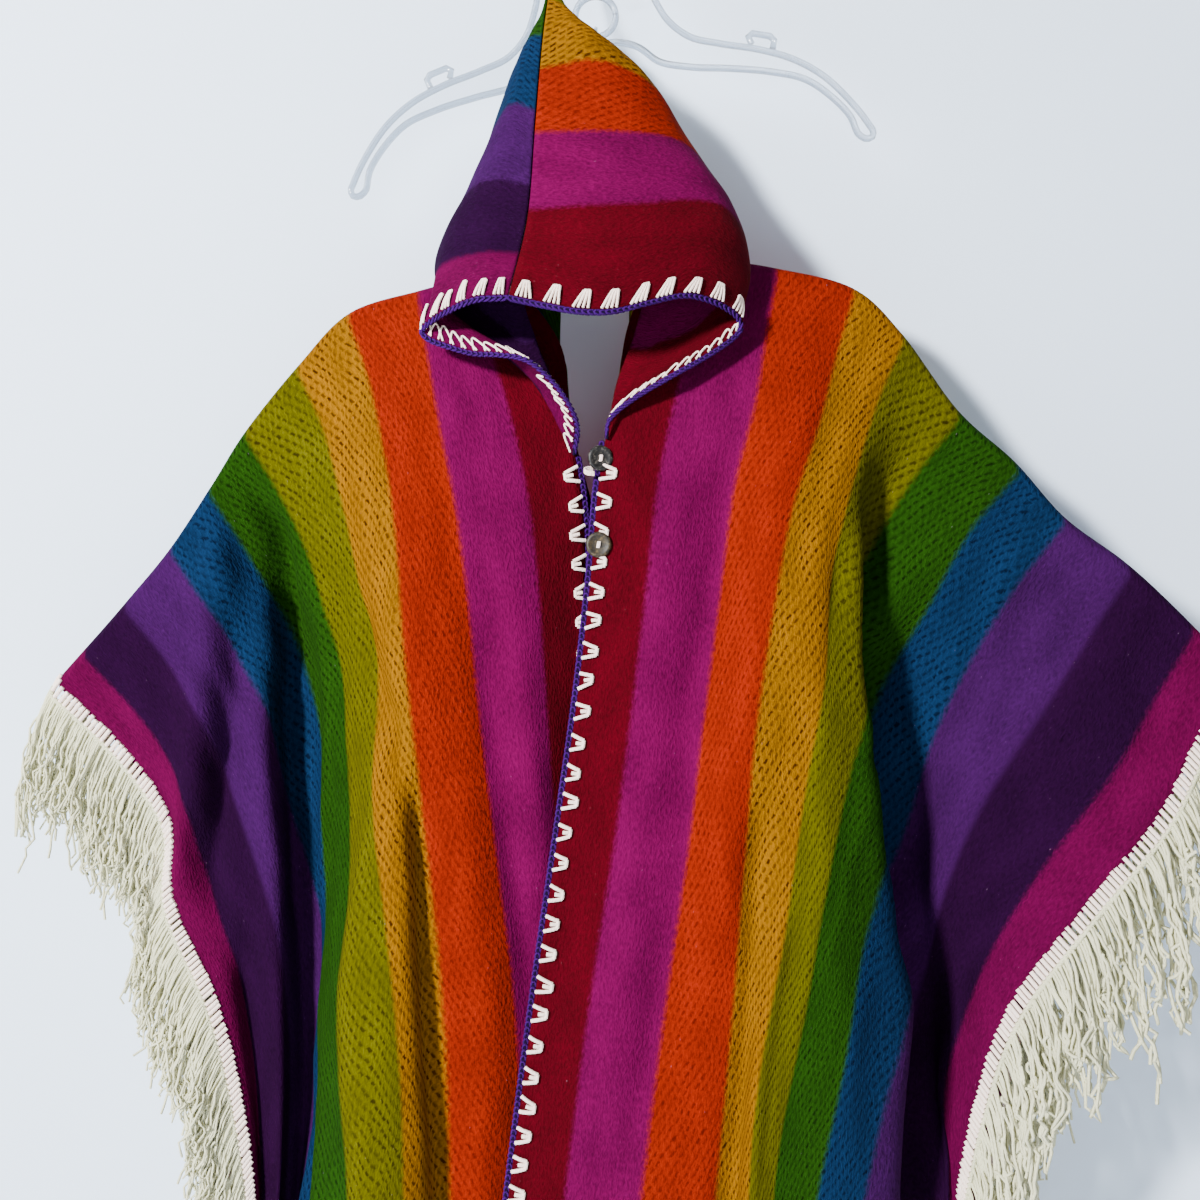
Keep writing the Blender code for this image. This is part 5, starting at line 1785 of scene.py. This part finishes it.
    def hood(self) -> None:
        """The two halves of the hood with their edging and stitches."""
        lift = SHELL / 2 + 0.9 * MM
        for (side, surface), fan in zip(self.hoods.items(), (LEFT_FAN, RIGHT_FAN)):
            shell = surface.shell("hood_cloth_" + side, SHELL, self.hood_wools[side])
            cloth = self.settle(shell, "cloth", "hood_" + side)
            first, chin = surface.rows[0] + 0.2 * MM, surface.rows[-1] - 3 * MM
            made = self.edging(surface, "face_" + side, first, chin)
            places = fan.places(first, chin - 12 * MM)
            places = places[places < BROW_SHARE * chin]
            made.append(self.tube("fans_face_" + side,
                                  fans(surface, places, fan, -SHELL / 2 - 1.0 * MM, self.rng),
                                  FACE_FAN_CORD, self.white, "fringe"))
            loops = FACE_LOOPS.lines(surface, first, chin - 6 * MM, lift, self.rng)
            if side == "left":           # this edge rolls over above the chin
                loops += ROLLED_LOOPS.lines(surface, ROLL_SHARE * chin, chin - 2 * MM, -lift,
                                            self.rng)
            made.append(self.tube("reverse_face_" + side, loops, FACE_LOOP_CORD, self.white,
                                  "fringe"))
            area = sheet_area(surface)
            "cloth_" + side
            LOG.info("hood %s area %.4f", side, area)

    def buttons(self) -> None:
        """Two shell buttons and their threads."""
        for name, tilt, loop in (("button_upper", 16.0, True), ("button_lower", 0.0, False)):
            maker = ButtonMaker(name, tilt)
            self.settle(maker.disc(self.shells[name]), "shell_button", name)
            self.tube(name + "_thread", maker.threads(loop), THREAD_CORD, self.white,
                      "fringe")

    def hangers(self) -> None:
        """The clear hanger, its hook, and the plain one inside the shoulders."""
        maker = HangerMaker()
        web = self.settle(maker.web(self.web), "clear_plastic", "hanger_body")
        rims = self.tube("hanger_rim", maker.rims(), Cord(HangerMaker.RIM, 10), self.clear,
                         "clear_plastic")
        web.visible_shadow = rims.visible_shadow = False     # clear plastic lets light by
        hook = hook_points(HOOK_RADIUS, PLATE_TOP + 3 * MM, turned)
        self.tube("hook_wire", [hook], Cord(WIRE_RADIUS, 14), self.steel, "steel", "hanger_hook")
        drop = np.array((0, 0, CLOTH / 2 + ARM_CLEARANCE + ARM_RADIUS))
        arms = [shoulder_points(panel, np.linspace(0, ARM_REACH, 12)) - drop
                for panel in (LEFT, RIGHT)]
        neck = np.array([(x * MM, INNER_PLANE, z * MM) for x, z in INNER_NECK])
        line = rounded(np.vstack((arms[0][::-1], neck, arms[1])), 90) - (0, 0, 0.6 * MM)
        self.tube("inner_hanger_arms", [line], Cord(ARM_RADIUS, 16), self.clear,
                  "clear_plastic", "inner_hanger")
        top = turned(0.0, HANGER_EYE_DEPTH) + (0.0, 0.0, INNER_HOOK_LIFT - HANGER_EYE)
        foot = top[2] - (neck[1][2] + ARM_RADIUS - 1.5 * MM)
        inner = hook_points(HOOK_RADIUS, foot,
                            lambda out, down: np.array((top[0], out, top[2] - down)), INNER_PLANE)
        self.tube("inner_hook_wire", [inner], Cord(WIRE_RADIUS, 12), self.steel, "steel",
                  "inner_hook")


def sheet_area(surface: Surface) -> float:
    """Area of a cloth's middle surface, in square metres."""
    p = surface.points
    a, b = p[1:, 1:] - p[:-1, :-1], p[1:, :-1] - p[:-1, 1:]
    return float(np.linalg.norm(np.cross(a, b), axis=2).sum() / 2)


# ================================================================ stage, light and camera
@dataclass(frozen=True)
class Lamp:
    """A soft square light aimed at a place."""

    name: str
    place: tuple[float, float, float]
    target: tuple[float, float, float]
    size: float
    power: float

    def build(self) -> None:
        """Put the light in the scene."""
        light = bpy.data.lights.new(self.name, "AREA")
        light.size, light.energy = self.size, self.power
        thing = linked(self.name, light)
        thing.location = self.place
        way = Vector(self.target) - Vector(self.place)
        thing.rotation_euler = way.to_track_quat("-Z", "Y").to_euler()


class Studio:
    """Pale wall and floor, soft light and the camera."""

    WALL = 0.052
    WALL_MIDDLE, WALL_REACH = 0.8, 2.42   # its height at the middle, and from there to its top
    WALL_COLOUR = srgb(217, 232, 251)
    FLOOR_COLOUR = srgb(222, 226, 230)
    SKY, SKY_STRENGTH = (0.88, 0.92, 0.98, 1.0), 0.26
    FLOOR = -1.62
    REACH = 4.2                      # half the width of the wall and the floor
    VIEWPOINT = (0.015, -1.10, -0.5835)
    SENSOR = 36
    FRAME_WIDTH = 0.996              # what the picture spans at the hook's plane
    LAMPS = (Lamp("key", (-1.75, -2.3, 0.35), (0.0, 0.0, -0.62), 0.34, 322),
             Lamp("fill", (0.6, -2.8, -0.5), (0.05, 0.0, -0.7), 1.6, 12),
             Lamp("behind", (0.5, 2.7, 0.4), (0.0, 0.0, -0.7), 1.2, 170))

    def build(self) -> None:
        """Make the whole setting."""
        wall = self.plane("wall", (0, self.WALL, self.WALL_MIDDLE), (self.REACH, 0, 0),
                          (0, 0, self.WALL_REACH),
                          Plaster("pale_wall", self.WALL_COLOUR, True).build())
        wall.visible_shadow = False
        self.plane("floor", (0, 0, self.FLOOR), (self.REACH, 0, 0), (0, self.REACH, 0),
                   Plaster("pale_floor", self.FLOOR_COLOUR).build())
        for lamp in self.LAMPS:
            lamp.build()
        self.world()
        self.camera()

    def plane(self, name: str, centre: Sequence[float], across: Sequence[float],
              up: Sequence[float], material: bpy.types.Material) -> bpy.types.Object:
        """A large flat sheet of the setting; across and up are half its sides."""
        centre, across, up = (np.array(v, float) for v in (centre, across, up))
        corners = [centre + across * x + up * y for x, y in ((-1, -1), (1, -1), (1, 1), (-1, 1))]
        mesh = bpy.data.meshes.new(name)
        mesh.from_pydata([tuple(c) for c in corners], [], [(0, 1, 2, 3)])
        thing = linked(name, mesh, material)
        return thing

    def world(self) -> None:
        """Even pale surroundings."""
        world = bpy.data.worlds.new("surroundings")
        world.use_nodes = True
        ground = world.node_tree.nodes["Background"]
        ground.inputs[0].default_value = self.SKY
        ground.inputs[1].default_value = self.SKY_STRENGTH
        bpy.context.scene.world = world

    def camera(self) -> None:
        """The view from straight in front."""
        lens = bpy.data.cameras.new("view")
        lens.sensor_width = self.SENSOR
        lens.lens = self.SENSOR / (self.FRAME_WIDTH / -self.VIEWPOINT[1])
        lens.dof.use_dof = False
        thing = linked("view", lens)
        thing.location = self.VIEWPOINT
        thing.rotation_euler = (math.radians(90), 0, 0)
        bpy.context.scene.camera = thing


def main() -> None:
    """Dress the frame and light it."""
    logging.basicConfig(level=logging.INFO, force=True,
                        format="%(relativeCreated)d %(name)s: %(message)s")
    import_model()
    Studio().build()
    poncho = Poncho()
    poncho.hangers()
    poncho.bodies()
    poncho.hood()
    poncho.buttons()
    LOG.info("dressed")


if __name__ == "__main__":
    main()
